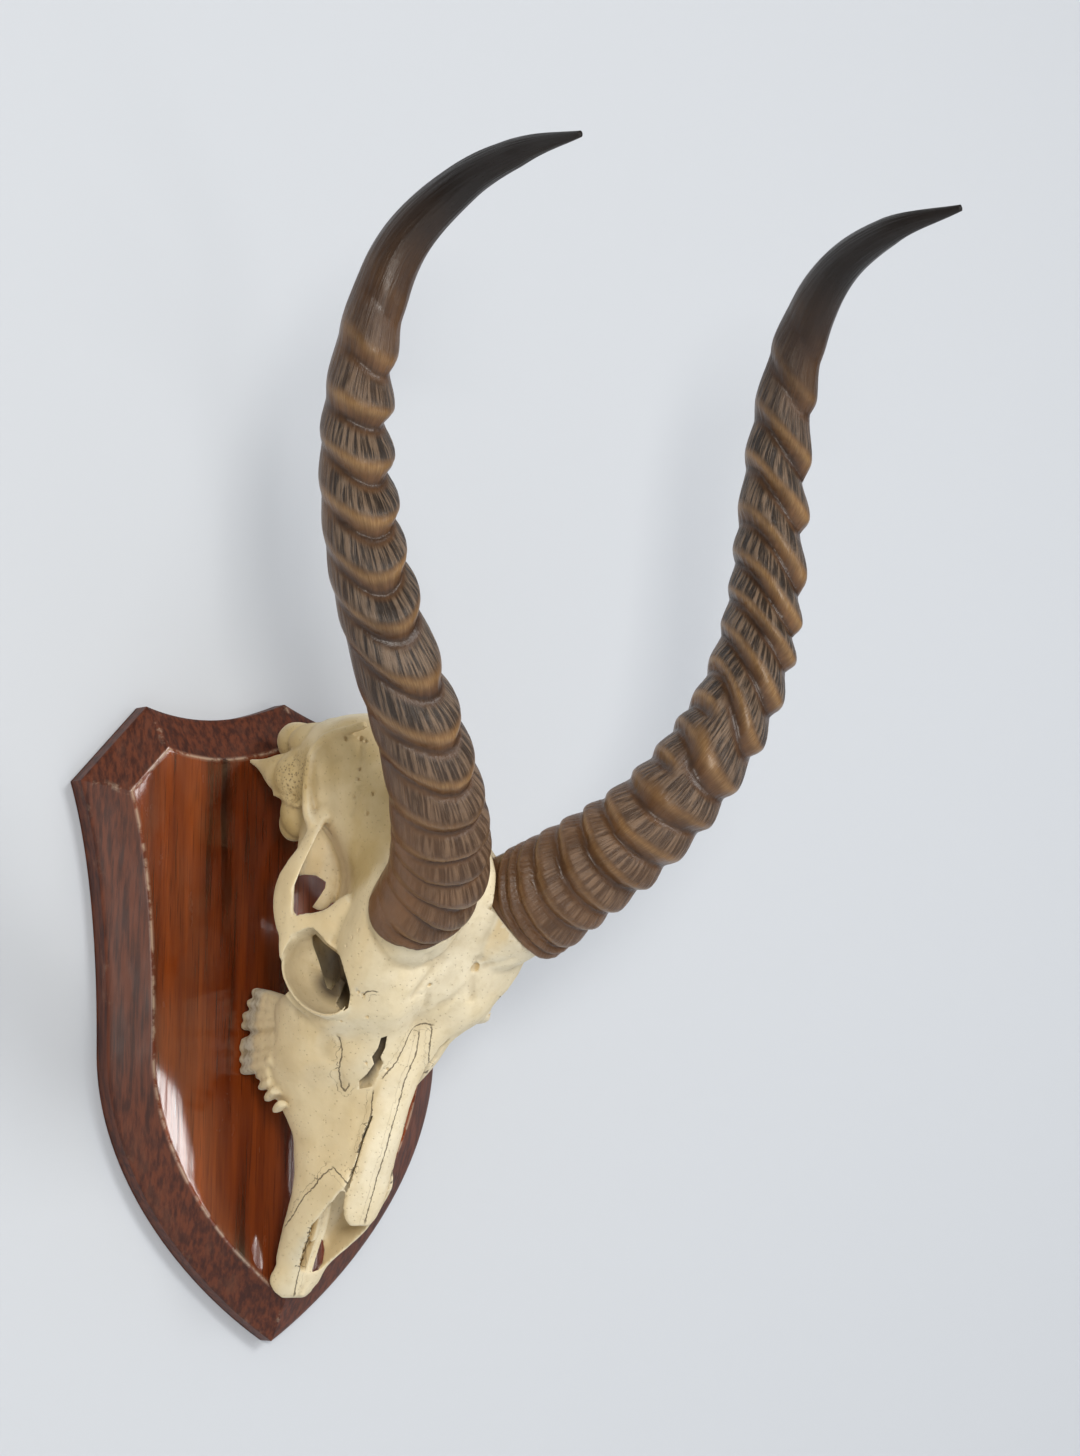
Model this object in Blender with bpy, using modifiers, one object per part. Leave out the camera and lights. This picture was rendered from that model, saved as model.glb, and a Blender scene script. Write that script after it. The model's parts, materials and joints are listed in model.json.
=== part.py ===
"""Antelope skull with two ringed horns, mounted nose down on a wooden shield for a wall.

Metres, +Z up. The wall is the plane y = 0 and the trophy stands out from it towards -Y, so +X is to
the right of a person who faces the wall. The origin is on the wall, on the shield's centre line,
half way between the shield's top point and its tip.
"""
import math

import bmesh
import bpy
import numpy as np
from mathutils import Vector

# Driving sizes
MM = 0.001
BOARD_HEIGHT = 0.330
BOARD_CORNER_HALF_WIDTH = 0.1245
BOARD_EDGE_DEPTH = 0.010
BOARD_DEPTH = 0.0216
BOARD_BEVEL_WIDTH = 0.0195
CONTACT_GAP = 0.0003
HORN_RINGS = 17
HORN_SIDES = 14
HORN_SECTIONS = 78
RING_HEIGHT = 0.0030
SKULL_VOXEL = 0.0020
SKULL_KEEP = 0.052
TOOTH_COUNT = 6

COLLECTION_NAME = "kob_skull_with_horns"


def collection(name):
    made = bpy.data.collections.new(name)
    bpy.context.scene.collection.children.link(made)
    return made


def clear_scene():
    for thing in list(bpy.data.objects):
        bpy.data.objects.remove(thing, do_unlink=True)


def material(name, colour, roughness):
    made = bpy.data.materials.new(name)
    made.use_nodes = True
    shader = made.node_tree.nodes["Principled BSDF"]
    shader.inputs["Base Color"].default_value = (*colour, 1.0)
    shader.inputs["Roughness"].default_value = roughness
    shader.inputs["Metallic"].default_value = 0.0
    return made


def place(bm, name, where, finish=None, sharp_angle=None):
    """Turns a bmesh into a named object in a collection."""
    bmesh.ops.recalc_face_normals(bm, faces=bm.faces)
    mesh = bpy.data.meshes.new(name)
    bm.to_mesh(mesh)
    bm.free()
    if sharp_angle is not None:
        mesh.shade_smooth()
        mesh.set_sharp_from_angle(angle=math.radians(sharp_angle))
    made = bpy.data.objects.new(name, mesh)
    where.objects.link(made)
    if finish:
        mesh.materials.append(finish)
    return made


def as_cutter(thing):
    thing.hide_render = True
    thing.display_type = "WIRE"
    return thing


def add_boolean(thing, cutter, operation="DIFFERENCE"):
    step = thing.modifiers.new(cutter.name, "BOOLEAN")
    step.operation = operation
    step.solver = "EXACT"
    step.object = cutter


def evaluated_mesh(thing):
    graph = bpy.context.evaluated_depsgraph_get()
    return bpy.data.meshes.new_from_object(thing.evaluated_get(graph))


# Curves and lofts

def bezier(start, handle_a, handle_b, end, count):
    """Points on a cubic Bezier curve, without its last point."""
    points = []
    for t in np.linspace(0.0, 1.0, count, endpoint=False):
        s = 1.0 - t
        points.append(start * s**3 + handle_a * (3 * s * s * t) + handle_b * (3 * s * t * t) + end * t**3)
    return points


def catmull(points, count, closed=False):
    """A smooth curve through points, sampled at equal steps of its length."""
    points = np.array(points, dtype=float)
    if closed:
        ring = np.vstack([points[-1], points, points[:2]])
    else:
        ring = np.vstack([2 * points[0] - points[1], points, 2 * points[-1] - points[-2]])
    dense = []
    for a, b, c, d in zip(ring[:-3], ring[1:-2], ring[2:-1], ring[3:]):
        for t in np.linspace(0.0, 1.0, 12, endpoint=False):
            dense.append(0.5 * (2 * b + (c - a) * t + (2 * a - 5 * b + 4 * c - d) * t * t
                                + (3 * b - a - 3 * c + d) * t**3))
    dense.append(points[0] if closed else points[-1])
    dense = np.array(dense)
    travelled = np.concatenate([[0.0], np.cumsum(np.linalg.norm(np.diff(dense, axis=0), axis=1))])
    at = np.linspace(0.0, travelled[-1], count, endpoint=not closed)
    return np.array([np.interp(at, travelled, dense[:, axis]) for axis in range(dense.shape[1])]).T


def loft(bm, rings):
    """Joins closed rings of equal count with quads and closes both ends."""
    made = [[bm.verts.new(point) for point in ring] for ring in rings]
    count = len(made[0])
    for low, high in zip(made[:-1], made[1:]):
        for i in range(count):
            j = (i + 1) % count
            bm.faces.new((low[i], low[j], high[j], high[i]))
    bm.faces.new(list(reversed(made[0])))
    bm.faces.new(made[-1])


def frames(path, front):
    """Tangent, front and side vectors along a path, carried along it without twisting."""
    tangents = np.gradient(path, axis=0)
    tangents /= np.linalg.norm(tangents, axis=1)[:, None]
    fronts = np.zeros_like(path)
    middle = len(path) // 2
    fronts[middle] = front
    for i in list(range(middle, len(path))) + list(range(middle, -1, -1)):
        before = fronts[middle] if i == middle else fronts[i - 1 if i > middle else i + 1]
        flat = before - tangents[i] * before.dot(tangents[i])
        fronts[i] = flat / np.linalg.norm(flat)
    return tangents, fronts, np.cross(tangents, fronts)


def rod(bm, points, front_radii, side_radii, front=(0.0, -1.0, 0.0), count=14, sides=12):
    """A bar of oval section along a path given in millimetres."""
    path = catmull(points, count) * MM
    spread = np.linspace(0.0, 1.0, len(front_radii))
    wide = np.interp(np.linspace(0, 1, count), spread, front_radii) * MM
    side = np.interp(np.linspace(0, 1, count), spread, side_radii) * MM
    _, fronts, across = frames(path, np.array(front))
    turn = np.linspace(0.0, 2 * math.pi, sides, endpoint=False)
    rings = []
    for at, ahead, beside, a, b in zip(path, fronts, across, wide, side):
        rings.append([Vector(at + ahead * a * math.cos(t) + beside * b * math.sin(t)) for t in turn])
    loft(bm, rings)


def both_sides(points):
    """The same points on the left (-X) and on the right (+X)."""
    return [[(sign * x, y, z) for x, y, z in points] for sign in (-1, 1)]


def ellipsoid(bm, centre, radii, lean=0.0):
    """An egg shape in millimetres, leaning about X by an angle in degrees."""
    made = bmesh.ops.create_uvsphere(bm, u_segments=20, v_segments=12, radius=1.0)["verts"]
    cosine, sine = math.cos(math.radians(lean)), math.sin(math.radians(lean))
    for vert in made:
        x, y, z = (vert.co[axis] * radii[axis] for axis in range(3))
        y, z = y * cosine - z * sine, y * sine + z * cosine
        vert.co = (Vector((x, y, z)) + Vector(centre)) * MM


def box(bm, low, high):
    """A box between two corners in metres."""
    made = bmesh.ops.create_cube(bm, size=1.0)["verts"]
    for vert in made:
        vert.co = Vector([low[axis] + (vert.co[axis] + 0.5) * (high[axis] - low[axis]) for axis in range(3)])


# Shield

def shield_segments():
    """The right half of the shield's outline as Bezier segments, from its top point to its tip."""
    top = Vector((0.0, BOARD_HEIGHT / 2))
    tip = Vector((0.0, -BOARD_HEIGHT / 2))
    shoulder = Vector((0.0865, 0.1558))
    corner = Vector((BOARD_CORNER_HALF_WIDTH, 0.1150))
    waist = Vector((0.1045, -0.0200))
    return [
        (top, top + Vector((0.030, -0.0125)), shoulder + Vector((-0.030, -0.0080)), shoulder),
        (shoulder, shoulder.lerp(corner, 1 / 3), shoulder.lerp(corner, 2 / 3), corner),
        (corner, corner + Vector((-0.0140, -0.0380)), waist + Vector((0.0010, 0.0450)), waist),
        (waist, waist + Vector((-0.0020, -0.0620)), tip + Vector((0.0480, 0.0290)), tip),
    ]


def outward(direction):
    return Vector((-direction.y, direction.x)).normalized()


def mitre(point, arriving, leaving, inset):
    """A corner moved inwards by the same distance from both of its sides."""
    first, second = outward(arriving), outward(leaving)
    return point - (first + second) * (inset / (1.0 + first.dot(second)))


def shield_outline(inset, steps):
    """The closed outline, moved inwards by inset, with the same points at every inset."""
    segments = shield_segments()
    right = []
    for number, (start, a, b, end) in enumerate(segments):
        # At the top point and the tip the outline goes on as its mirror image.
        if number == 0:
            before = Vector((a.x - start.x, start.y - a.y))
        else:
            before = start - segments[number - 1][2]
        if number == 3:
            after = Vector((b.x - end.x, end.y - b.y)) * -1.0
        else:
            after = segments[number + 1][1] - end
        moved_start = mitre(start, before, a - start, inset)
        moved_end = mitre(end, end - b, after, inset)
        ratio = (moved_end - moved_start).length / (end - start).length
        right += bezier(moved_start, moved_start + (a - start) * ratio,
                        moved_end + (b - end) * ratio, moved_end, steps[number])
    last_handle, tip = segments[3][2:]
    leaving = Vector((tip.x - last_handle.x, last_handle.y - tip.y))
    right.append(mitre(tip, tip - last_handle, leaving, inset))
    left = [Vector((-point.x, point.y)) for point in reversed(right[1:-1])]
    return right + left


def make_board(where):
    steps = (8, 2, 8, 12)
    outer = shield_outline(0.0, steps)
    inner = shield_outline(BOARD_BEVEL_WIDTH, steps)
    levels = [(outer, 0.0), (outer, -BOARD_EDGE_DEPTH), (inner, -BOARD_DEPTH)]
    bm = bmesh.new()
    loft(bm, [[Vector((point.x, y, point.y)) for point in outline] for outline, y in levels])
    return place(bm, "shield_board", where, material("mahogany", (0.14, 0.035, 0.018), 0.22), 20)


# Horns

# Axis points in millimetres from the base to the tip, for the horn on the right. Both horns share
# the lower part. The tips differ: the left one turns in and the right one turns out and up.
HORN_LOWER_PATH = [(28, -166, 52), (42, -191, 67), (64, -217, 91), (86, -232, 120), (110, -239, 159),
                   (126, -239, 203), (132, -239, 251), (131, -247, 298)]
HORN_RIGHT_TIP = [(125, -266, 336), (116, -298, 362), (115, -335, 375), (124, -372, 380)]
HORN_LEFT_TIP = [(126, -263, 335), (116, -292, 359), (109, -325, 368), (105, -358, 368)]
# Half widths of the oval section: across the front and from front to back, base first.
HORN_WIDE = [31.0, 26.6, 23.4, 21.6, 20.4, 19.4, 18.2, 17.0, 15.0, 12.4, 9.6, 6.6, 1.3]
HORN_DEEP = [24.0, 24.4, 23.8, 22.6, 21.6, 20.6, 19.0, 17.8, 16.0, 13.2, 10.2, 7.0, 1.5]
# The right horn is a little the stouter of the two.
HORN_STOUTNESS = {-1: 1.0, 1: 1.06}


def horn_path(side):
    tip = HORN_LEFT_TIP if side < 0 else HORN_RIGHT_TIP
    return np.array([(side * x, y, z) for x, y, z in HORN_LOWER_PATH + tip], dtype=float) * MM


def ring_position(number):
    """Distance of a ring's crest from the base, as a part of the horn's length."""
    return 0.025 + 0.0309 * number + 0.00092 * number**2


def ring_swell(along):
    """How far the rings lift the surface at a place along the horn, from 0 to 1."""
    swell = 0.0
    for number in range(HORN_RINGS):
        crest = ring_position(number)
        spacing = 0.0309 + 0.00184 * number
        reach = abs(along - crest) / (0.5 * spacing)
        strength = 1.0 if number < HORN_RINGS - 2 else 0.45
        if reach < 1.0:
            swell = max(swell, strength * (0.5 + 0.5 * math.cos(math.pi * reach)))
    return swell


def add_horn_loft(bm, side, grow=0.0):
    """The horn's surface. With grow it is the cutter that leaves the contact gap in the skull."""
    path = catmull(horn_path(side), HORN_SECTIONS)
    _, fronts, across = frames(path, np.array([0.0, -1.0, 0.0]))
    along = np.linspace(0.0, 1.0, HORN_SECTIONS)
    spread = np.linspace(0.0, 1.0, len(HORN_WIDE))
    wide = np.interp(along, spread, HORN_WIDE) * MM * HORN_STOUTNESS[side]
    deep = np.interp(along, spread, HORN_DEEP) * MM * HORN_STOUTNESS[side]
    if grow:
        path[0] -= (path[1] - path[0]) / np.linalg.norm(path[1] - path[0]) * grow
    rings = []
    for at, ahead, beside, a, b, s in zip(path, fronts, across, deep, wide, along):
        ring = []
        for turn in np.linspace(0.0, 2 * math.pi, HORN_SIDES, endpoint=False):
            facing = 0.5 + 0.5 * math.cos(turn)
            lift = RING_HEIGHT * ring_swell(s) * (0.25 + 0.75 * facing) - 0.55 * RING_HEIGHT * (s < 0.75)
            reach_a, reach_b = a + lift + grow, b + lift + grow
            ring.append(Vector(at + ahead * reach_a * math.cos(turn) + beside * reach_b * math.sin(turn)))
        rings.append(ring)
    loft(bm, rings)


def make_horn(name, side, where, finish):
    bm = bmesh.new()
    add_horn_loft(bm, side)
    return place(bm, name, where, finish, 40)


# Skull

# Half sections of the skull's body: height, then points (x, y) in millimetres from the forehead's
# middle line round the side to the middle line of the underside, which faces the shield.
SKULL_SECTIONS = [
    (150, [(0, -82), (13, -80), (19, -71), (18, -56), (11, -46), (0, -44)]),
    (141, [(0, -98), (19, -95), (30, -82), (30, -58), (22, -38), (0, -34)]),
    (124, [(0, -120), (22, -116), (36, -98), (37, -70), (30, -46), (0, -36)]),
    (102, [(0, -146), (22, -142), (37, -120), (37, -88), (29, -58), (0, -44)]),
    (82, [(0, -168), (24, -164), (40, -144), (35, -105), (25, -68), (0, -50)]),
    (64, [(0, -180), (28, -177), (46, -158), (36, -112), (24, -72), (0, -54)]),
    (48, [(0, -173), (32, -170), (54, -149), (40, -112), (22, -74), (0, -56)]),
    (30, [(0, -157), (34, -155), (57, -139), (42, -100), (22, -72), (0, -56)]),
    (11, [(0, -140), (34, -140), (57, -124), (46, -90), (33, -38), (0, -46)]),
    (-7, [(0, -128), (24, -128), (46, -110), (43, -80), (35, -34), (0, -42)]),
    (-24, [(0, -122), (18, -120), (36, -102), (40, -75), (34, -34), (0, -40)]),
    (-42, [(0, -115), (15, -112), (28, -94), (34, -70), (29, -40), (0, -42)]),
    (-70, [(0, -101), (12, -98), (19, -84), (23, -66), (18, -52), (0, -50)]),
    (-92, [(0, -92), (10, -90), (16, -78), (19, -64), (14, -52), (0, -50)]),
    (-112, [(0, -62), (8, -61), (14, -57), (16, -52), (12, -44), (0, -43)]),
    (-130, [(0, -47), (7, -46), (13, -43), (15, -40), (12, -34), (0, -33)]),
    (-144, [(0, -34), (7, -34), (11, -33), (12, -31), (9, -26), (0, -26)]),
]
# Bars on each side, for the right side: the cheek arch and the bar behind the eye socket.
CHEEK_ARCH = [(33, -76, -32), (45, -85, -10), (54, -90, 6), (58, -90, 24), (57, -85, 42), (56, -89, 62),
              (50, -95, 80), (44, -98, 94), (36, -98, 108)]
POSTORBITAL_BAR = [(48, -150, 52), (56, -138, 51), (60, -116, 48), (58, -90, 40)]
JUGULAR_PROCESS = [(27, -58, 134), (32, -42, 134), (35, -27, 131)]
EYE_SOCKET = ((64, -117, 22), (30, 25, 25))
TOOTH_ROW_START, TOOTH_ROW_END = (32.0, 8.0), (28.0, -33.0)


def section_ring(half, count=32):
    """A closed smooth ring through a half section and its mirror image."""
    return catmull(half + [(-x, y) for x, y in reversed(half[1:-1])], count, closed=True)


def add_skull_body(bm):
    heights = np.array([height for height, _ in SKULL_SECTIONS], dtype=float)
    rings = np.array([section_ring(half) for _, half in SKULL_SECTIONS])
    tower = np.array([np.column_stack([ring, np.full(len(ring), z)]) for ring, z in zip(rings, heights)])
    lines = np.array([catmull(tower[:, i], 44) for i in range(tower.shape[1])])
    loft(bm, [[Vector(point * MM) for point in lines[:, level]] for level in range(lines.shape[1])])


def make_skull_core(where, cutters):
    """The body of the skull with its eye sockets and its nasal passage cut."""
    bm = bmesh.new()
    add_skull_body(bm)
    core = place(bm, "skull_core", where)
    hollows = bmesh.new()
    for sign in (-1, 1):
        (x, y, z), radii = EYE_SOCKET
        ellipsoid(hollows, (sign * x, y, z), radii)
        ellipsoid(hollows, (sign * 52, -74, 34), (22, 20, 34))
    sockets = as_cutter(place(hollows, "eye_socket_cutter", cutters))
    add_boolean(core, sockets)
    nose = bmesh.new()
    rod(nose, [(0, -88, -62), (0, -76, -84), (0, -74, -104), (0, -74, -126)], [8, 15, 20, 24],
        [8, 10, 9, 7])
    passage = as_cutter(place(nose, "nasal_passage_cutter", cutters))
    add_boolean(core, passage)
    slit = bmesh.new()
    rod(slit, [(0, -60, -104), (0, -44, -114), (0, -30, -136)], [6, 9, 6], [5, 4.5, 1.6])
    opening = as_cutter(place(slit, "palate_slit_cutter", cutters))
    add_boolean(core, opening)
    return core


def add_skull_details(bm):
    """Everything that grows out of the skull's body, as overlapping closed shells."""
    for path in both_sides(CHEEK_ARCH):
        rod(bm, path, [8, 7, 5, 4, 5, 5.5, 5.5, 6, 7], [6, 5, 4, 3.5, 3.5, 3.5, 4, 5, 6], count=22)
    for path in both_sides(POSTORBITAL_BAR):
        rod(bm, path, [7, 5, 4.5, 5], [7, 4.5, 4, 4], front=(0, 0, 1))
    for path in both_sides(JUGULAR_PROCESS):
        rod(bm, path, [9, 6, 1.8], [7, 4, 1.6], front=(0, 0, 1))
    for sign in (-1, 1):
        ellipsoid(bm, (sign * 33, -62, 124), (10, 16, 14), 20)
        ellipsoid(bm, (sign * 22, -54, 101), (9, 12, 14))
        ellipsoid(bm, (sign * 13, -36, 144), (9, 11, 10), 20)
        ellipsoid(bm, (sign * 12, -56, 62), (6, 14, 24))
        add_teeth(bm, sign)
        add_horn_core(bm, sign)
    rod(bm, [(0, -98, -70), (0, -92, -88), (0, -87, -102)], [6, 4, 2], [13, 11, 7])


def add_teeth(bm, sign):
    """The cheek teeth of one side, standing out of the jaw towards the shield."""
    for number in range(TOOTH_COUNT):
        part = number / (TOOTH_COUNT - 1)
        x = TOOTH_ROW_START[0] + (TOOTH_ROW_END[0] - TOOTH_ROW_START[0]) * part
        z = TOOTH_ROW_START[1] + (TOOTH_ROW_END[1] - TOOTH_ROW_START[1]) * part
        size = 4.6 - 1.0 * part
        rod(bm, [(sign * x, -50, z), (sign * x, -36, z), (sign * x, -20, z)], [size, size, size],
            [5.2, 5.2, 4.6], front=(0, 0, 1), count=5, sides=8)


def add_horn_core(bm, sign):
    """The stump of bone that carries a horn."""
    path = horn_path(sign)
    inward = (path[0] - path[1]) / np.linalg.norm(path[0] - path[1])
    points = [tuple((path[0] + inward * depth) / MM) for depth in (-0.002, 0.012, 0.034)]
    rod(bm, points, [22.5, 23, 20], [24.5, 25, 22], front=(0, -1, 0), count=6, sides=20)


def make_skull(where, cutters):
    workshop = make_skull_core(cutters, cutters)
    bm = bmesh.new()
    core_mesh = evaluated_mesh(workshop)
    bm.from_mesh(core_mesh)
    add_skull_details(bm)
    bpy.data.objects.remove(workshop, do_unlink=True)
    skull = place(bm, "skull", where, material("bone", (0.62, 0.53, 0.38), 0.55))
    fuse = skull.modifiers.new("fuse", "REMESH")
    fuse.mode = "VOXEL"
    fuse.voxel_size = SKULL_VOXEL
    soften = skull.modifiers.new("soften", "SMOOTH")
    soften.factor = 0.5
    soften.iterations = 3
    thin = skull.modifiers.new("thin", "DECIMATE")
    thin.ratio = SKULL_KEEP
    for name, side in (("left", -1), ("right", 1)):
        socket = bmesh.new()
        add_horn_loft(socket, side, CONTACT_GAP)
        add_boolean(skull, as_cutter(place(socket, f"horn_socket_{name}", cutters)))
    rear = bmesh.new()
    box(rear, (-0.2, -BOARD_DEPTH - CONTACT_GAP, -0.3), (0.2, 0.1, 0.3))
    add_boolean(skull, as_cutter(place(rear, "board_plane_cutter", cutters)))
    return skull


def main():
    clear_scene()
    parts = collection(COLLECTION_NAME)
    cutters = collection("cutters")
    make_board(parts)
    keratin = material("horn", (0.16, 0.10, 0.055), 0.42)
    make_horn("horn_left", -1, parts, keratin)
    make_horn("horn_right", 1, parts, keratin)
    make_skull(parts, cutters)


main()
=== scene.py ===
"""Dresses the mounted antelope skull: varnished shield, weathered bone and ringed keratin horns."""

import json
import math

import bpy
import numpy as np
from mathutils import Matrix, Vector, noise
from mathutils.bvhtree import BVHTree
from mathutils.kdtree import KDTree

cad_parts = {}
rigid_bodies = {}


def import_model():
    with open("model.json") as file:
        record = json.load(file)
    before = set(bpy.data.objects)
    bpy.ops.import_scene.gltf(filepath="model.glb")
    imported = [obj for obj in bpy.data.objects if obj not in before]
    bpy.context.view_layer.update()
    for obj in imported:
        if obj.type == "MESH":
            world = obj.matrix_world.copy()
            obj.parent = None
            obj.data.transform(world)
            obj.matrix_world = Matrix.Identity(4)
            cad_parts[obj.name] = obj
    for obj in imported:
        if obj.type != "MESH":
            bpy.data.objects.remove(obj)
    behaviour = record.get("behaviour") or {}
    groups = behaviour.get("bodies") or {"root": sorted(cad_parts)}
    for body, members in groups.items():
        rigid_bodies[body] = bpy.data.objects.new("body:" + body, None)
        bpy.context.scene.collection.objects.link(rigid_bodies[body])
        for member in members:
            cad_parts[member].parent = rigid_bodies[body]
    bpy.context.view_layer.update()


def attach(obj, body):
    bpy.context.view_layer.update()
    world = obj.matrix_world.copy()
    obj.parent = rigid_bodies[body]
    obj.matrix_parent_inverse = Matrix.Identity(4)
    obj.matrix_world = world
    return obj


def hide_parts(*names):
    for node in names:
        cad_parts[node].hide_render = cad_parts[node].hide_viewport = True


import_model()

MM = 0.001
SAME_PLACE = 1e-7
BODY = "root"

# The photographer's place, found from the shield's outline
PICTURE_WIDTH, PICTURE_HEIGHT = 1080, 1456
CAMERA_PLACE = Vector((-0.9375, -1.2933, -0.0461))
CAMERA_TURN = math.radians(41.0)
CAMERA_RISE = math.radians(7.2)
CAMERA_ROLL = math.radians(0.6)
FOCAL_PIXELS = 3030.0
SENSOR_WIDTH = 36.0

# The room: its even light, what of it the varnish mirrors, and lamps with their place, the point that
# they face, their size, power and colour
ROOM_COLOUR = (0.97, 0.98, 1.0)
ROOM_LIGHT, ROOM_MIRRORED = 0.50, 0.05
WINDOW_TARGET, WINDOW_COLOUR = (0.0, -0.05, 0.08), (1.0, 0.98, 0.97)
LAMPS = {
    "lamp_front": ((-1.05, -1.85, 0.25), (0.0, -0.10, 0.15), (0.36, 0.36), 17.0, (1.0, 0.97, 0.91)),
    "lamp_above": ((0.80, -2.40, 1.15), (0.0, -0.15, 0.1), (0.8, 0.8), 26.0, (1.0, 0.99, 0.97)),
    "window_upper": ((0.995, -1.62, 0.33), WINDOW_TARGET, (0.115, 0.30), 1.8, WINDOW_COLOUR),
    "window_lower": ((1.02, -1.62, -0.09), WINDOW_TARGET, (0.095, 0.32), 1.5, WINDOW_COLOUR),
}
WALL_COLOUR = (0.595, 0.62, 0.655)
WALL_GAP, WALL_TOP, WALL_HALF_WIDTH = 0.0006, 2.2, 3.0
FLOOR_HEIGHT, FLOOR_FRONT, FLOOR_BEND = -0.75, -3.6, 0.25

# Shield
BOARD_HEIGHT = 0.330
BOARD_CORNER_HALF_WIDTH = 0.1245
BOARD_EDGE_DEPTH = 0.010
BOARD_DEPTH = 0.0216
BOARD_BEVEL_WIDTH = 0.0195
BOARD_STEPS = (28, 10, 30, 48)
# Steps inwards from the outline: inset and height above the level of the edge, slope or field
BOARD_RIM_STEPS = [(0.0, -0.0009), (0.00015, -0.0004), (0.0006, 0.0001)]
BOARD_SLOPE_STEPS = (0.0014, 0.003, 0.006, 0.010, 0.014, 0.0170, 0.0182, 0.0189)
BOARD_FIELD_STEPS = [(-0.0001, -0.00022), (0.0003, -0.00005), (0.0008, 0.0), (0.0018, 0.0),
                     (0.0045, 0.0)]
ARRIS_WEAR, RIM_WEAR, CORNER_WEAR = 0.0007, 0.0016, 0.0012

# Horns: axis points in millimetres from the base to the tip, for the horn on the right
HORN_LOWER_PATH = [(31, -164, 51.5), (42, -191, 67), (64, -217, 91), (86, -232, 120),
                   (110, -239, 159), (126, -239, 203), (132, -239, 251), (131, -247, 298)]
HORN_RIGHT_TIP = [(125, -266, 336), (116, -298, 362), (115, -335, 375), (124, -372, 380)]
HORN_LEFT_TIP = [(126, -263, 335), (116, -292, 359), (109, -325, 368), (105, -358, 368)]
HORN_WIDE = [31.0, 26.6, 23.4, 21.6, 20.4, 19.4, 18.2, 17.0, 15.0, 12.4, 9.6, 6.6, 1.3]
HORN_DEEP = [24.0, 24.4, 23.8, 22.6, 21.6, 20.6, 19.0, 17.8, 16.0, 13.2, 10.2, 7.0, 1.5]
HORN_STOUTNESS = {-1: 1.0, 1: 1.06}
HORN_ALONG = 620
HORN_AROUND = 120


# General helpers

def deselect_all():
    if bpy.context.object and bpy.context.object.mode != "OBJECT":
        bpy.ops.object.mode_set(mode="OBJECT")
    bpy.ops.object.select_all(action="DESELECT")


def take(piece):
    """Makes a piece the only selected and active one."""
    deselect_all()
    piece.select_set(True)
    bpy.context.view_layer.objects.active = piece
    return piece


def apply_step(piece, kind, **settings):
    """Adds a modifier, applies it at once and returns the piece."""
    take(piece)
    step = piece.modifiers.new(kind.lower(), kind)
    for name, value in settings.items():
        setattr(step, name, value)
    bpy.ops.object.modifier_apply(modifier=step.name)
    return piece


def read_vectors(rows, key):
    out = np.empty(len(rows) * 3, dtype=np.float64)
    rows.foreach_get(key, out)
    return out.reshape(-1, 3)


def points_of(piece):
    return read_vectors(piece.data.vertices, "co")


def normals_of(piece):
    return read_vectors(piece.data.vertex_normals, "vector")


def put_points(piece, points):
    piece.data.vertices.foreach_set("co", np.asarray(points, dtype=np.float64).ravel())
    piece.data.update()


def paint(piece, name, values, kind="FLOAT"):
    """Stores a value for each vertex, for the materials to read."""
    layer = piece.data.attributes.new(name, kind, "POINT")
    key = "value" if kind == "FLOAT" else "vector"
    layer.data.foreach_set(key, np.asarray(values, dtype=np.float64).ravel())


def smooth_step(low, high, value):
    t = np.clip((np.asarray(value, dtype=float) - low) / (high - low), 0.0, 1.0)
    return t * t * (3.0 - 2.0 * t)


def wobble(points, size, seed=0.0):
    """Smooth noise from -1 to 1 at each point, with features of the given size in metres."""
    shift = Vector((seed * 17.3, seed * 5.1, seed * 9.7))
    return np.array([noise.noise(Vector(p) / size + shift) for p in points])


def catmull(points, count, closed=False):
    """A smooth curve through points, sampled at equal steps of its length."""
    points = np.array(points, dtype=float)
    if closed:
        ring = np.vstack([points[-1], points, points[:2]])
    else:
        ring = np.vstack([2 * points[0] - points[1], points, 2 * points[-1] - points[-2]])
    dense = []
    for a, b, c, d in zip(ring[:-3], ring[1:-2], ring[2:-1], ring[3:]):
        for t in np.linspace(0.0, 1.0, 12, endpoint=False):
            dense.append(0.5 * (2 * b + (c - a) * t + (2 * a - 5 * b + 4 * c - d) * t * t
                                + (3 * b - a - 3 * c + d) * t**3))
    dense.append(points[0] if closed else points[-1])
    dense = np.array(dense)
    travelled = np.concatenate([[0.0], np.cumsum(np.linalg.norm(np.diff(dense, axis=0), axis=1))])
    at = np.linspace(0.0, travelled[-1], count, endpoint=not closed)
    return np.array([np.interp(at, travelled, dense[:, axis]) for axis in range(dense.shape[1])]).T


def path_frames(path, front):
    """Tangent, front and side vectors along a path, carried along it without twisting."""
    tangents = np.gradient(path, axis=0)
    tangents /= np.linalg.norm(tangents, axis=1)[:, None]
    fronts = np.zeros_like(path)
    middle = len(path) // 2
    fronts[middle] = front
    for i in list(range(middle, len(path))) + list(range(middle, -1, -1)):
        before = fronts[middle] if i == middle else fronts[i - 1 if i > middle else i + 1]
        flat = before - tangents[i] * before.dot(tangents[i])
        fronts[i] = flat / np.linalg.norm(flat)
    return tangents, fronts, np.cross(tangents, fronts)


def on_all(operator, **settings):
    """Runs a mesh operator on the whole mesh in edit mode."""
    bpy.ops.mesh.select_all(action="SELECT")
    operator(**settings)


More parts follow.
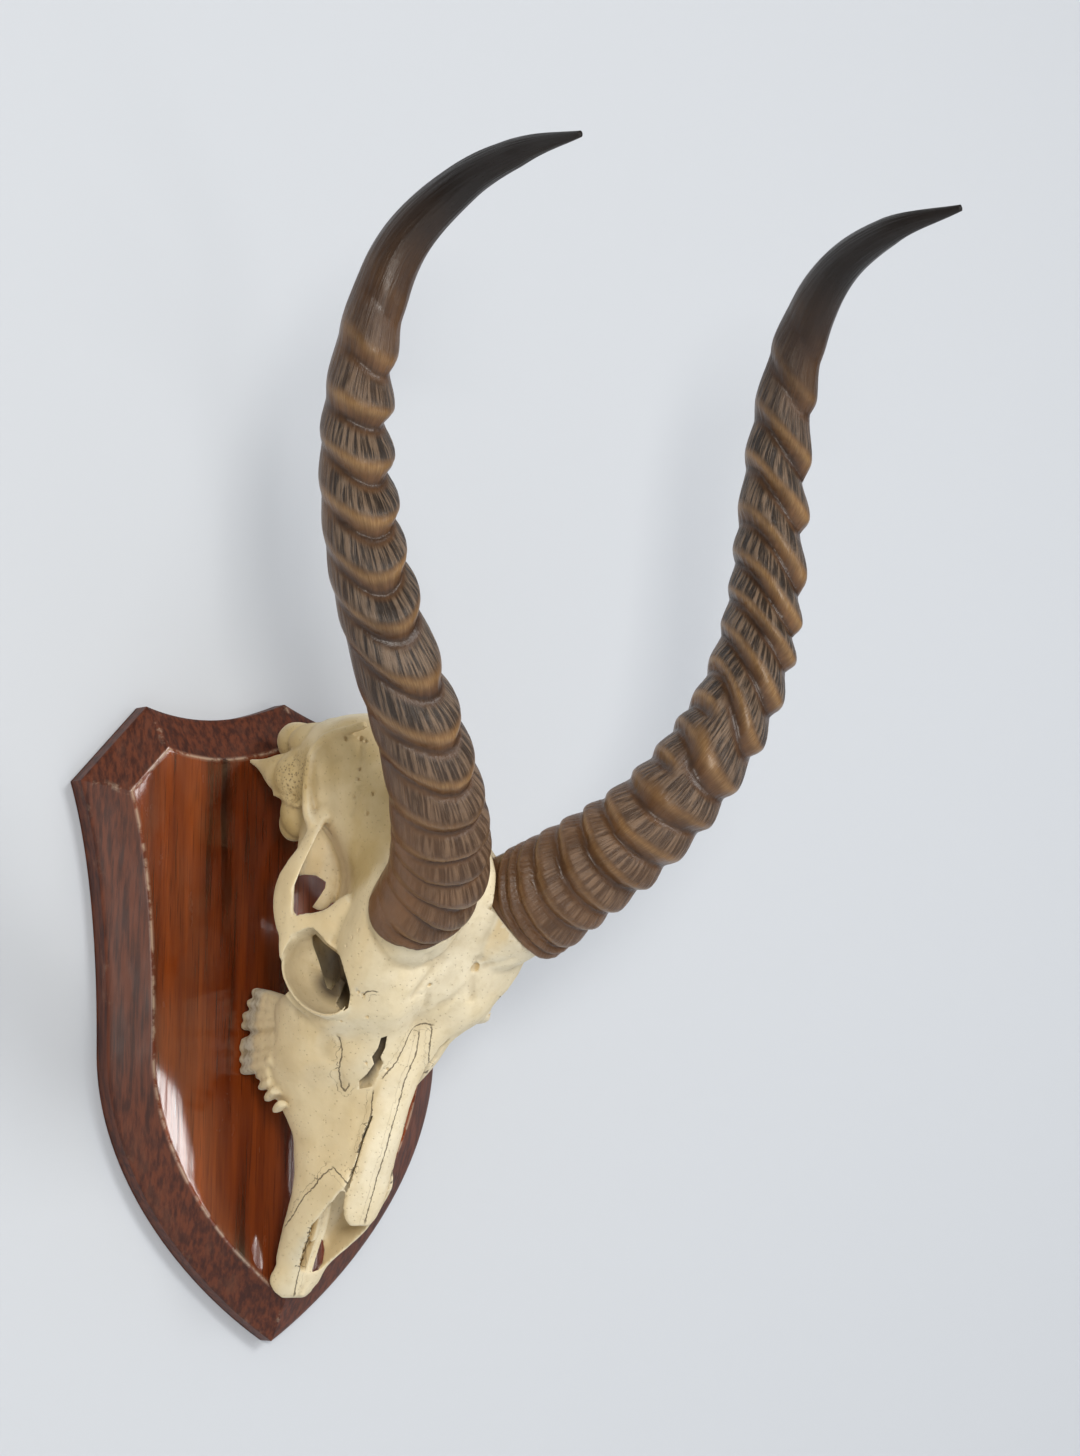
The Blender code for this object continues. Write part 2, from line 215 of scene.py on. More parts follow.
def wrapped_grid(name, rows):
    """A grid primitive wrapped into a closed sleeve through rows of points, with both ends filled."""
    deselect_all()
    bpy.ops.mesh.primitive_grid_add(x_subdivisions=len(rows[0]), y_subdivisions=len(rows) - 1, size=1.0)
    piece = bpy.context.object
    piece.name = name
    piece.data.name = name
    rows = np.asarray(rows, dtype=float)
    put_points(piece, np.concatenate([rows, rows[:, :1]], axis=1))
    bpy.ops.object.mode_set(mode="EDIT")
    on_all(bpy.ops.mesh.remove_doubles, threshold=SAME_PLACE)
    bpy.ops.mesh.select_all(action="DESELECT")
    bpy.ops.mesh.select_non_manifold()
    bpy.ops.mesh.fill_holes(sides=0)
    on_all(bpy.ops.mesh.normals_make_consistent, inside=False)
    bpy.ops.object.mode_set(mode="OBJECT")
    return piece


def finish_piece(piece, node, finish, smooth_angle=None):
    """Gives a finished piece its material and its place in the frame."""
    piece.data.materials.clear()
    piece.data.materials.append(finish)
    take(piece)
    if smooth_angle is None:
        bpy.ops.object.shade_smooth()
    else:
        bpy.ops.object.shade_smooth_by_angle(angle=math.radians(smooth_angle))
    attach(piece, BODY)
    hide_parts(node)


# Camera, light and backdrop

def camera_axes():
    """The camera's right, up and forward directions."""
    ahead = Vector((math.sin(CAMERA_TURN) * math.cos(CAMERA_RISE),
                    math.cos(CAMERA_TURN) * math.cos(CAMERA_RISE), math.sin(CAMERA_RISE)))
    level = Vector((math.cos(CAMERA_TURN), -math.sin(CAMERA_TURN), 0.0))
    upright = level.cross(ahead)
    right = level * math.cos(CAMERA_ROLL) + upright * math.sin(CAMERA_ROLL)
    return right, right.cross(ahead), ahead


def place_camera():
    right, up, ahead = camera_axes()
    lens = bpy.data.cameras.new("camera")
    lens.sensor_width = SENSOR_WIDTH
    lens.sensor_fit = "AUTO"
    lens.lens = FOCAL_PIXELS * SENSOR_WIDTH / PICTURE_HEIGHT
    camera = bpy.data.objects.new("camera", lens)
    pose = Matrix((right, up, -ahead)).transposed().to_4x4()
    pose.translation = CAMERA_PLACE
    camera.matrix_world = pose
    bpy.context.scene.collection.objects.link(camera)
    bpy.context.scene.camera = camera


def pixel_ray(x, y):
    """The direction from the camera through a pixel of the picture."""
    right, up, ahead = camera_axes()
    across = (x - PICTURE_WIDTH / 2) / FOCAL_PIXELS
    down = (y - PICTURE_HEIGHT / 2) / FOCAL_PIXELS
    return (ahead + right * across - up * down).normalized()


def add_panel(name, place, target, size, power, colour):
    """A soft rectangular lamp."""
    lamp = bpy.data.lights.new(name, "AREA")
    lamp.shape = "RECTANGLE"
    lamp.size, lamp.size_y = size
    lamp.energy = power
    lamp.color = colour
    holder = bpy.data.objects.new(name, lamp)
    holder.location = place
    holder.rotation_euler = (Vector(target) - Vector(place)).to_track_quat("-Z", "Y").to_euler()
    bpy.context.scene.collection.objects.link(holder)


def light_room():
    """An even room, a soft lamp behind the camera, one above and two narrow windows to the right."""
    bpy.context.scene.view_settings.view_transform = "Standard"
    world = bpy.data.worlds.new("room")
    bpy.context.scene.world = world
    world.use_nodes = True
    r = Recipe(world.node_tree)
    mirrored_share = r.node("LightPath").outputs["Is Glossy Ray"]
    strength = r.node("MapRange", {"Value": mirrored_share, "To Min": ROOM_LIGHT,
                                   "To Max": ROOM_MIRRORED})
    r.fill(r.nodes["Background"], {"Color": ROOM_COLOUR, "Strength": strength.outputs["Result"]})
    for name, settings in LAMPS.items():
        add_panel(name, *settings)


def make_backdrop():
    """A pale wall just behind the shield that runs forward into a pale floor."""
    profile = [(WALL_GAP, WALL_TOP), (WALL_GAP, FLOOR_HEIGHT + FLOOR_BEND)]
    for turn in np.linspace(0.0, math.pi / 2, 10)[1:]:
        profile.append((WALL_GAP - FLOOR_BEND + FLOOR_BEND * math.cos(turn),
                        FLOOR_HEIGHT + FLOOR_BEND - FLOOR_BEND * math.sin(turn)))
    profile.append((FLOOR_FRONT, FLOOR_HEIGHT))
    deselect_all()
    bpy.ops.mesh.primitive_grid_add(x_subdivisions=1, y_subdivisions=len(profile) - 1, size=1.0)
    wall = bpy.context.object
    wall.name = "backdrop"
    put_points(wall, [(side * WALL_HALF_WIDTH, y, z) for y, z in profile for side in (-1, 1)])
    wall.data.materials.append(wall_paint())
    take(wall)
    bpy.ops.object.mode_set(mode="EDIT")
    on_all(bpy.ops.mesh.normals_make_consistent, inside=False)
    bpy.ops.object.mode_set(mode="OBJECT")
    if wall.data.polygons[0].normal.y > 0:
        wall.data.flip_normals()
    bpy.ops.object.shade_smooth()


def wall_paint():
    """Matt paint, clear from behind and for the light on its way to the shield's back."""
    made, r, shader = new_material("pale_wall")
    r.fill(shader, {"Base Color": WALL_COLOUR, "Roughness": 0.9})
    near = r.math("LESS_THAN", r.node("LightPath").outputs["Ray Length"], 4.0 * WALL_GAP)
    unseen = r.most(r.node("NewGeometry").outputs["Backfacing"], near)
    clear = r.node("BsdfTransparent").outputs["BSDF"]
    mixed = r.node("MixShader", {0: unseen, 1: shader.outputs["BSDF"], 2: clear})
    r.fill(r.nodes["Material Output"], {"Surface": mixed.outputs["Shader"]})
    return made


# Material helpers

class Recipe:
    """A short way to write a material's or a group's nodes."""

    def __init__(self, tree):
        self.nodes, self.links = tree.nodes, tree.links

    def node(self, kind, inputs=None, **settings):
        made = self.nodes.new("ShaderNode" + kind)
        for name, value in settings.items():
            setattr(made, name, value)
        return self.fill(made, inputs or {})

    def fill(self, node, inputs):
        """Gives each named input its value, which is another node's output, a number or a tuple."""
        for name, value in inputs.items():
            socket = node.inputs[name]
            if hasattr(value, "is_output"):
                self.links.new(value, socket)
            else:
                socket.default_value = (*value, 1.0) if socket.type == "RGBA" else value
        return node

    def attribute(self, name, output="Fac"):
        return self.node("Attribute", attribute_name=name).outputs[output]

    def place(self):
        return self.node("TexCoord").outputs["Object"]

    def stretch(self, vector, scale):
        return self.node("Mapping", {"Vector": vector, "Scale": scale}).outputs["Vector"]

    def noise(self, vector, scale, detail=4.0, roughness=0.55):
        return self.node("TexNoise", {"Vector": vector, "Scale": scale, "Detail": detail,
                                      "Roughness": roughness}).outputs["Fac"]

    def cells(self, vector, scale):
        return self.node("TexVoronoi", {"Vector": vector, "Scale": scale}).outputs["Distance"]

    def ramp(self, value, low, high, from_value=0.0, to_value=1.0):
        return self.node("MapRange", {"Value": value, "From Min": low, "From Max": high,
                                      "To Min": from_value, "To Max": to_value},
                         interpolation_type="SMOOTHSTEP").outputs["Result"]

    def math(self, operation, *values):
        return self.node("Math", dict(enumerate(values)), operation=operation).outputs["Value"]

    def times(self, first, second):
        return self.math("MULTIPLY", first, second)

    def plus(self, first, second):
        return self.math("ADD", first, second)

    def minus(self, first, second):
        return self.math("SUBTRACT", first, second)

    def most(self, first, second):
        return self.math("MAXIMUM", first, second)

    def mix(self, amount, first, second):
        return self.node("Mix", {"Factor": amount, "A": first, "B": second},
                         data_type="RGBA").outputs["Result"]

    def bump(self, height, strength, distance, normal=None):
        made = self.node("Bump", {"Height": height, "Strength": strength, "Distance": distance})
        return self.fill(made, {} if normal is None else {"Normal": normal}).outputs["Normal"]

    def group(self, tree, **values):
        return self.node("Group", values, node_tree=tree)


def new_material(name):
    made = bpy.data.materials.new(name)
    made.use_nodes = True
    return made, Recipe(made.node_tree), made.node_tree.nodes["Principled BSDF"]


def new_group(name, inputs, outputs):
    """A node group with its sockets: name, kind and first value of each input."""
    tree = bpy.data.node_groups.new(name, "ShaderNodeTree")
    for label, kind, value in inputs:
        socket = tree.interface.new_socket(label, in_out="INPUT", socket_type="NodeSocket" + kind)
        if value is not None:
            socket.default_value = value
    for label, kind in outputs:
        tree.interface.new_socket(label, in_out="OUTPUT", socket_type="NodeSocket" + kind)
    recipe = Recipe(tree)
    return tree, recipe, recipe.nodes.new("NodeGroupInput"), recipe.nodes.new("NodeGroupOutput")


def streak_group():
    """Long streaks along Z for wood and keratin: a coarse mask and a fine mask."""
    tree, r, given, out = new_group(
        "streaks", [("Vector", "Vector", None), ("Coarse", "Float", 40.0), ("Fine", "Float", 420.0)],
        [("Coarse", "Float"), ("Fine", "Float")])
    for label in ("Coarse", "Fine"):
        r.fill(out, {label: r.noise(given.outputs["Vector"], given.outputs[label], 5.0, 0.6)})
    return tree


def grime_and_shade_group():
    """Patchy dirt and painted shade: a mask that gathers where the given mask is high, so that creases
    come out darker.
    """
    tree, r, given, out = new_group(
        "grime_and_shade", [("Vector", "Vector", None), ("Scale", "Float", 60.0), ("Gather", "Float", 0.0),
                  ("Amount", "Float", 0.5)], [("Mask", "Float")])
    patch = r.ramp(r.noise(given.outputs["Vector"], given.outputs["Scale"], 6.0, 0.5), 0.42, 0.68)
    # The given mask adds painted shade in creases to the dirt patches.
    gathered = r.plus(r.times(patch, 0.55), given.outputs["Gather"])
    r.fill(out, {"Mask": r.times(gathered, given.outputs["Amount"])})
    return tree


# Shield

def bezier(start, handle_a, handle_b, end, count):
    """Points on a cubic Bezier curve, without its last point, closer together near both ends."""
    points = []
    for turn in np.linspace(0.0, math.pi, count, endpoint=False):
        t = 0.5 - 0.5 * math.cos(turn)
        s = 1.0 - t
        points.append(start * s**3 + handle_a * (3 * s * s * t) + handle_b * (3 * s * t * t)
                      + end * t**3)
    return points


def shield_segments():
    """The right half of the shield's outline as Bezier segments, from its top point to its tip."""
    top = Vector((0.0, BOARD_HEIGHT / 2))
    tip = Vector((0.0, -BOARD_HEIGHT / 2))
    shoulder = Vector((0.0865, 0.1558))
    corner = Vector((BOARD_CORNER_HALF_WIDTH, 0.1150))
    waist = Vector((0.1045, -0.0200))
    return [
        (top, top + Vector((0.030, -0.0125)), shoulder + Vector((-0.030, -0.0080)), shoulder),
        (shoulder, shoulder.lerp(corner, 1 / 3), shoulder.lerp(corner, 2 / 3), corner),
        (corner, corner + Vector((-0.0140, -0.0380)), waist + Vector((0.0010, 0.0450)), waist),
        (waist, waist + Vector((-0.0020, -0.0620)), tip + Vector((0.0480, 0.0290)), tip),
    ]


def outward(direction):
    return Vector((-direction.y, direction.x)).normalized()


def mitre(point, arriving, leaving, inset):
    """A corner moved inwards by the same distance from both of its sides."""
    first, second = outward(arriving), outward(leaving)
    return point - (first + second) * (inset / (1.0 + first.dot(second)))


def shield_outline(inset, steps=BOARD_STEPS):
    """The closed outline, moved inwards by inset, with the same points at every inset."""
    segments = shield_segments()
    right = []
    for number, (start, a, b, end) in enumerate(segments):
        # At the top point and the tip the outline goes on as its mirror image.
        if number == 0:
            before = Vector((a.x - start.x, start.y - a.y))
        else:
            before = start - segments[number - 1][2]
        if number == 3:
            after = Vector((b.x - end.x, end.y - b.y)) * -1.0
        else:
            after = segments[number + 1][1] - end
        moved_start = mitre(start, before, a - start, inset)
        moved_end = mitre(end, end - b, after, inset)
        ratio = (moved_end - moved_start).length / (end - start).length
        right += bezier(moved_start, moved_start + (a - start) * ratio,
                        moved_end + (b - end) * ratio, moved_end, steps[number])
    last_handle, tip = segments[3][2:]
    leaving = Vector((tip.x - last_handle.x, last_handle.y - tip.y))
    right.append(mitre(tip, tip - last_handle, leaving, inset))
    left = [Vector((-point.x, point.y)) for point in reversed(right[1:-1])]
    return right + left


def distance_to_lines(points, starts, ends):
    """Each point's distance from the nearest of some line pieces."""
    best = np.full(len(points), 1.0)
    for a, b in zip(starts, ends):
        run = b - a
        t = np.clip(((points - a) @ run) / max(run @ run, 1e-12), 0.0, 1.0)
        best = np.minimum(best, np.linalg.norm(points - a - t[:, None] * run, axis=1))
    return best


def make_board(finish):
    """The shield: a rounded rim, a sloping border and a flat field, with its edges marked for wear."""
    slope = (BOARD_DEPTH - BOARD_EDGE_DEPTH) / BOARD_BEVEL_WIDTH
    levels = [(0.0, 0.0), (0.0, 0.4 * BOARD_EDGE_DEPTH)]
    levels += [(inset, BOARD_EDGE_DEPTH + rise) for inset, rise in BOARD_RIM_STEPS]
    levels += [(inset, BOARD_EDGE_DEPTH + slope * inset) for inset in BOARD_SLOPE_STEPS]
    levels += [(BOARD_BEVEL_WIDTH + inset, BOARD_DEPTH + rise) for inset, rise in BOARD_FIELD_STEPS]
    rows = [[(point.x, -depth, point.y) for point in shield_outline(inset)] for inset, depth in levels]
    board = wrapped_grid("shield_board_finished", rows)
    points = points_of(board)
    inner = np.array([(p.x, -BOARD_DEPTH, p.y) for p in shield_outline(BOARD_BEVEL_WIDTH)])
    outer = np.array([(p.x, -BOARD_EDGE_DEPTH, p.y) for p in shield_outline(0.0)])
    arris = distance_to_lines(points, inner, np.roll(inner, -1, axis=0))
    rim = distance_to_lines(points, outer, np.roll(outer, -1, axis=0))
    # The outline's sharp points: its top, both shoulders, both corners and its tip
    first = np.cumsum((0,) + BOARD_STEPS)
    sharp = np.concatenate([first[[0, 1, 2, 4]], len(outer) - first[1:3]])
    corner = distance_to_lines(points, outer[sharp], inner[sharp])
    paint(board, "arris", np.exp(-(arris / ARRIS_WEAR)**2))
    paint(board, "rim", np.exp(-(rim / RIM_WEAR)**2))
    paint(board, "corner", np.exp(-(corner / CORNER_WEAR)**2) * (points[:, 1] < -BOARD_EDGE_DEPTH))
    paint(board, "border", smooth_step(-BOARD_DEPTH + 0.0001, -BOARD_DEPTH + 0.0006, points[:, 1]))
    finish_piece(board, "shield_board", finish, smooth_angle=12)


def mahogany(streaks):
    """Red-brown veneer with near-black streaks under a thick varnish that has sunk into the grain."""
    made, r, shader = new_material("varnished_mahogany")
    place = r.place()
    bands = r.group(streaks, Vector=r.stretch(place, (1.0, 1.0, 0.060)), Coarse=62.0, Fine=430.0)
    coarse, fine = bands.outputs["Coarse"], bands.outputs["Fine"]
    flame = r.noise(r.stretch(place, (1.0, 1.0, 0.35)), 9.0, 2.0)
    pores = r.noise(r.stretch(place, (1.0, 1.0, 0.022)), 1500.0, 2.0)
    border = r.attribute("border")
    tone = r.plus(r.plus(r.times(coarse, 0.75), r.times(flame, 0.32)), r.times(fine, 0.16))
    ramp = r.node("ValToRGB", {"Fac": tone})
    stops = ramp.color_ramp.elements
    stops[0].position, stops[0].color = 0.46, (0.026, 0.0046, 0.0014, 1.0)
    stops[1].position, stops[1].color = 0.78, (0.300, 0.055, 0.0060, 1.0)
    stops.new(0.58).color = (0.145, 0.023, 0.0034, 1.0)
    field = r.mix(r.ramp(pores, 0.56, 0.70, 0.0, 0.55), ramp.outputs["Color"], (0.018, 0.004, 0.002))
    dusty = r.noise(r.stretch(place, (1.0, 1.0, 0.30)), 120.0, 6.0, 0.65)
    frame_tone = r.mix(r.ramp(fine, 0.35, 0.65), (0.046, 0.0095, 0.0034), (0.130, 0.030, 0.0090))
    frame_tone = r.mix(r.ramp(dusty, 0.50, 0.72, 0.0, 0.4), frame_tone, (0.130, 0.048, 0.025))
    broken = r.noise(place, 95.0, 5.0, 0.65)
    worn = r.times(r.attribute("arris"), r.ramp(broken, 0.44, 0.56, 0.05, 0.85))
    worn = r.most(worn, r.times(r.attribute("corner"), r.ramp(broken, 0.50, 0.62, 0.0, 0.6)))
    worn = r.most(worn, r.times(r.attribute("rim"), r.ramp(broken, 0.54, 0.70, 0.0, 0.20)))
    colour = r.mix(worn, r.mix(border, field, frame_tone), (0.50, 0.36, 0.25))
    sunk = r.noise(r.stretch(place, (1.0, 1.0, 0.040)), 620.0, 3.0)
    ripple = r.noise(r.stretch(place, (1.0, 1.0, 0.16)), 70.0, 2.0)
    r.fill(shader, {
        "Base Color": colour,
        "Roughness": r.plus(r.times(border, 0.30), r.ramp(dusty, 0.3, 0.8, 0.16, 0.30)),
        "Normal": r.bump(ripple, 0.5, 0.0006, r.bump(sunk, 0.55, 0.00010)),
        "Specular IOR Level": 0.38,
        "Coat Weight": r.ramp(border, 0.0, 1.0, 1.0, 0.05),
        "Coat IOR": 1.6,
        "Coat Roughness": 0.10,
        "Coat Normal": r.bump(ripple, 0.5, 0.0005, r.bump(sunk, 0.35, 0.00006)),
    })
    return made


# Horns

# The lips of the rings as they are seen in the picture, in its pixels, from the base to the tip
NEAR_HORN_LIPS = [
    [(440, 944), (458, 947), (470, 941)],
    [(415, 918), (440, 930), (455, 934), (472, 930)],
    [(410, 898), (430, 906), (450, 911), (470, 913), (481, 903)],
    [(405, 870), (420, 882), (440, 888), (460, 889), (480, 880)],
    [(405, 855), (425, 862), (450, 865), (470, 861), (485, 848)],
    [(420, 828), (440, 836), (460, 834), (475, 825), (483, 818)],
    [(405, 775), (420, 788), (445, 797), (460, 795), (472, 782), (478, 772)],
    [(392, 732), (405, 742), (420, 749), (440, 752), (456, 744), (464, 728)],
    [(372, 666), (386, 676), (398, 688), (412, 698), (428, 698), (443, 680), (449, 664)],
    [(355, 618), (372, 631), (388, 640), (402, 639), (414, 627), (421, 616)],
    [(338, 566), (352, 577), (368, 587), (380, 591), (393, 584), (405, 570)],
    [(335, 512), (350, 523), (362, 531), (378, 531), (394, 524)],
    [(333, 456), (347, 468), (360, 475), (374, 476), (387, 475)],
    [(335, 402), (347, 411), (358, 416), (372, 418), (386, 421)],
    [(347, 340), (359, 351), (367, 357), (380, 361), (390, 370)],
    [(376, 285), (383, 300), (396, 307), (402, 318)],
]
FAR_HORN_LIPS = [
    [(506, 862), (506, 890), (514, 920), (526, 940), (540, 950)],
    [(512, 860), (518, 890), (526, 916), (538, 934), (550, 946)],
    [(532, 850), (536, 880), (544, 900), (554, 916), (566, 926), (576, 930)],
    [(554, 834), (562, 860), (568, 880), (580, 894), (592, 906), (600, 912)],
    [(578, 816), (586, 836), (590, 854), (602, 866), (616, 878), (630, 890), (640, 892)],
    [(602, 796), (610, 816), (618, 830), (628, 842), (644, 850), (656, 860), (668, 866)],
    [(628, 772), (638, 784), (650, 800), (660, 812), (672, 820), (684, 822), (704, 832)],
    [(650, 750), (660, 752), (672, 762), (684, 784), (700, 800), (712, 812)],
    [(672, 724), (686, 724), (696, 738), (694, 762), (700, 782), (722, 784), (740, 804)],
    [(688, 700), (700, 698), (712, 706), (724, 728), (738, 752), (756, 768)],
    [(704, 666), (720, 668), (732, 680), (738, 702), (744, 728), (752, 750), (765, 757)],
    [(716, 626), (730, 638), (746, 652), (754, 664), (762, 678), (770, 694), (780, 712)],
    [(726, 592), (748, 606), (760, 618), (770, 630), (778, 642), (787, 655)],
    [(728, 556), (752, 570), (764, 582), (776, 596), (788, 610), (796, 622)],
    [(732, 516), (750, 518), (766, 533), (780, 549), (794, 565), (800, 578)],
    [(744, 460), (760, 471), (774, 487), (786, 500), (798, 516)],
    [(762, 418), (776, 429), (790, 445), (802, 462)],
    [(780, 370), (786, 382), (796, 393), (806, 404)],
    [(800, 324), (812, 341), (820, 356)],
]
# Rings of the far horn that run out half way round and merge with the next one
FAR_HORN_SHORT_RINGS = (7, 9)
# Noise that moves the rings along the horn, in shares of its length, and that ridges its surface
HORN_SEEDS = {-1: 3.0, 1: 8.0}
HORN_DRIFT, HORN_RAGGED, HORN_RIDGES = 0.0024, 0.0007, 0.00022
HORN_FRONT = math.radians(22.0)
RING_HEIGHT = 0.0044
HORN_TRIM = 0.0019
RING_PEAK = 0.34
RING_GROOVE = 0.13
RING_TILT, RING_LOW_SIDE = 0.0085, math.radians(32.0)


def horn_path(side):
    tip = HORN_LEFT_TIP if side < 0 else HORN_RIGHT_TIP
    return np.array([(side * x, y, z) for x, y, z in HORN_LOWER_PATH + tip], dtype=float) * MM


class HornForm:
    """A horn's smooth shape: its axis, the half widths of its oval section and its frame."""

    def __init__(self, side, count):
        self.side = side
        self.path = catmull(horn_path(side), count)
        self.length = np.linalg.norm(np.diff(self.path, axis=0), axis=1).sum()
        _, self.fronts, self.across = path_frames(self.path, np.array([0.0, -1.0, 0.0]))
        self.along = np.linspace(0.0, 1.0, count)
        spread = np.linspace(0.0, 1.0, len(HORN_WIDE))
        self.wide = np.interp(self.along, spread, HORN_WIDE) * MM * HORN_STOUTNESS[side]
        self.deep = np.interp(self.along, spread, HORN_DEEP) * MM * HORN_STOUTNESS[side]

    def surface(self, turn, lift=0.0, grow=0.0):
        """Points round the horn at each place of the axis, with the surface lifted outwards."""
        deep = self.deep[:, None] + lift + grow
        wide = self.wide[:, None] + lift + grow
        return (self.path[:, None, :] + self.fronts[:, None, :] * (deep * np.cos(turn))[:, :, None]
                + self.across[:, None, :] * (wide * np.sin(turn))[:, :, None])


def picture_pixels(points):
    """Where points fall in the picture."""
    right, up, ahead = (np.array(axis) for axis in camera_axes())
    away = points - np.array(CAMERA_PLACE)
    depth = away @ ahead
    across = PICTURE_WIDTH / 2 + FOCAL_PIXELS * (away @ right) / depth
    down = PICTURE_HEIGHT / 2 - FOCAL_PIXELS * (away @ up) / depth
    return np.stack([across, down], axis=-1)


def ring_curves(side, lips):
    """For each lip seen in the picture, its place along the horn as a wave of the angle round it."""
    form = HornForm(side, 420)
    turn = np.linspace(0.0, 2 * math.pi, 96, endpoint=False)
    points = form.surface(turn)
    outward_way = points - form.path[:, None, :]
    to_camera = np.array(CAMERA_PLACE) - points
    seen = (outward_way * to_camera).sum(axis=-1) > 0.0
    pixels = picture_pixels(points.reshape(-1, 3)).reshape(*seen.shape, 2)
    pixels[~seen] = -9999.0
    curves = []
    for lip in lips:
        rows, wanted = [], []
        for x, y in lip:
            away = (pixels[..., 0] - x)**2 + (pixels[..., 1] - y)**2
            i, j = np.unravel_index(np.argmin(away), away.shape)
            t = turn[j] * side
            rows.append([1.0, math.cos(t), math.sin(t), math.cos(2 * t), math.sin(2 * t)])
            wanted.append(form.along[i] * form.length)
        guess = np.array([np.mean(wanted), -RING_TILT * math.cos(RING_LOW_SIDE),
                          -RING_TILT * math.sin(RING_LOW_SIDE), 0.0, 0.0])
        hold = np.diag([0.05, 0.30, 0.30, 0.9, 0.9])
        rows = np.vstack([np.array(rows), hold])
        wanted = np.concatenate([wanted, hold @ guess])
        curves.append(np.linalg.lstsq(rows, wanted, rcond=None)[0] / form.length)
    return np.array(curves)


def ring_field(curves, along, lateral):
    """At each place the ring's number, how far it is from its lip to the next, and the ring's width."""
    terms = np.stack([np.ones_like(lateral), np.cos(lateral), np.sin(lateral),
                      np.cos(2 * lateral), np.sin(2 * lateral)])
    places = curves @ terms
    spacing = np.gradient(places, axis=0)
    places = places - RING_GROOVE * spacing
    places = np.vstack([places[:1] - 0.012, places, places[-1:] + 0.075])
    for k in range(1, len(places)):
        places[k] = np.maximum(places[k], places[k - 1] + 0.009)
    number = np.zeros((len(along), len(lateral)), dtype=int)
    phase = np.zeros_like(number, dtype=float)
    width = np.zeros_like(phase)
    for j in range(len(lateral)):
        column = places[:, j]
        k = np.clip(np.searchsorted(column, along[:, j], side="right") - 1, 0, len(column) - 2)
        number[:, j] = k
        width[:, j] = column[k + 1] - column[k]
        phase[:, j] = np.clip((along[:, j] - column[k]) / width[:, j], 0.0, 1.0)
    return number, phase, width


def ring_profile(phase):
    """Height of a ring from the groove below its lip (0) over the lip to the next groove (1)."""
    skewed = np.where(phase < RING_PEAK, 0.5 * phase / RING_PEAK,
                      0.5 + 0.5 * (phase - RING_PEAK) / (1 - RING_PEAK))
    return (0.5 - 0.5 * np.cos(2 * math.pi * skewed))**0.72


def ring_heights(curves, along, lateral, seed):
    """Lift of the rings from 0 to 1 and the masks of their parts."""
    number, phase, width = ring_field(curves, along, lateral)
    last = len(curves)
    fade = 1.0 - smooth_step(last - 2.2, last + 0.9, number + phase)
    fade = fade * np.clip(width / 0.034, 0.45, 1.0) * (0.85 + 0.15 * (number > 0))
    vary = np.array([noise.noise(Vector((k * 1.7, seed, 0.5))) for k in range(last + 3)])
    size = fade * (1.0 + 0.30 * vary[number])
    lift = ring_profile(phase) * size
    masks = {
        "lip": np.exp(-((phase - 0.27) / 0.10)**2) * fade,
        "striae": smooth_step(0.30, 0.46, phase) * (1.0 - smooth_step(0.78, 0.95, phase)) * fade,
        # The hollow mask marks each groove between two rings, which the horn's finish darkens as
        # painted shade.
        "hollow": np.maximum(np.exp(-(phase / 0.06)**2), np.exp(-((1 - phase) / 0.10)**2)) * fade,
    }
    return lift, size, masks


def make_horn(name, side, lips, short_rings, finish):
    """One horn: an oval taper stepped into slanting rings, smooth and dark at the tip."""
    form = HornForm(side, HORN_ALONG)
    turn = np.linspace(0.0, 2 * math.pi, HORN_AROUND, endpoint=False)
    lateral = turn * side
    s, t = np.meshgrid(form.along, lateral, indexing="ij")
    seed = HORN_SEEDS[side]

    def swirl(around, along):
        """Noise over the horn, with more features the higher the two numbers are."""
        spots = np.stack([np.cos(t) * around, np.sin(t) * around, s * along + seed], axis=-1)
        return np.array([noise.noise(Vector(spot)) for spot in spots.reshape(-1, 3)]).reshape(s.shape)

    drift, ridges = swirl(1.3, 9.0), swirl(9.0, 22.0)
    curves = ring_curves(side, lips)
    place = s + HORN_DRIFT * drift + HORN_RAGGED * ridges
    lift, size, masks = ring_heights(curves, place, lateral, seed)
    if short_rings:
        fewer = np.delete(curves, short_rings, axis=0)
        other_lift, other_size, other_masks = ring_heights(fewer, place, lateral, seed)
        round_angle = np.degrees(np.arctan2(np.sin(t), np.cos(t)))
        share = smooth_step(-78.0, -42.0, round_angle) * (1.0 - smooth_step(120.0, 165.0, round_angle))
        lift = lift + (other_lift - lift) * share
        size = size + (other_size - size) * share
        masks = {key: masks[key] + (other_masks[key] - masks[key]) * share for key in masks}
    # The rings stand out most at the front and hardly at the back, least of all near the base.
    facing = 0.5 + 0.5 * np.cos(t + HORN_FRONT)
    strength = 0.24 + 0.76 * smooth_step(0.05, 0.85, facing)
    near_base = 1.0 - smooth_step(0.0, 0.30, s)
    strength = strength * (1.0 - 0.75 * near_base * (1.0 - smooth_step(0.15, 0.60, facing)))
    lift = (RING_HEIGHT * strength * (lift - 0.62 * size)
            - HORN_TRIM * (1.0 - 0.8 * smooth_step(0.60, 0.85, s)))
    lift = lift + HORN_RIDGES * ridges * (1.0 - masks["lip"])
    lift = lift * smooth_step(1.0, 0.93, s)
    rows = form.surface(turn, lift)
    horn = wrapped_grid(name + "_finished", rows)
    order = closest(rows.reshape(-1, 3), points_of(horn))[0]
    masks = {key: mask * np.clip(strength * 1.6, 0, 1) for key, mask in masks.items()}
    for key, mask in {**masks, "along": s, "front": facing}.items():
        paint(horn, key, mask.ravel()[order])
    sleeve = np.stack([np.cos(t) * 0.02, np.sin(t) * 0.02, s * form.length], axis=-1).reshape(-1, 3)
    paint(horn, "sleeve", sleeve[order], "FLOAT_VECTOR")
    finish_piece(horn, name, finish)


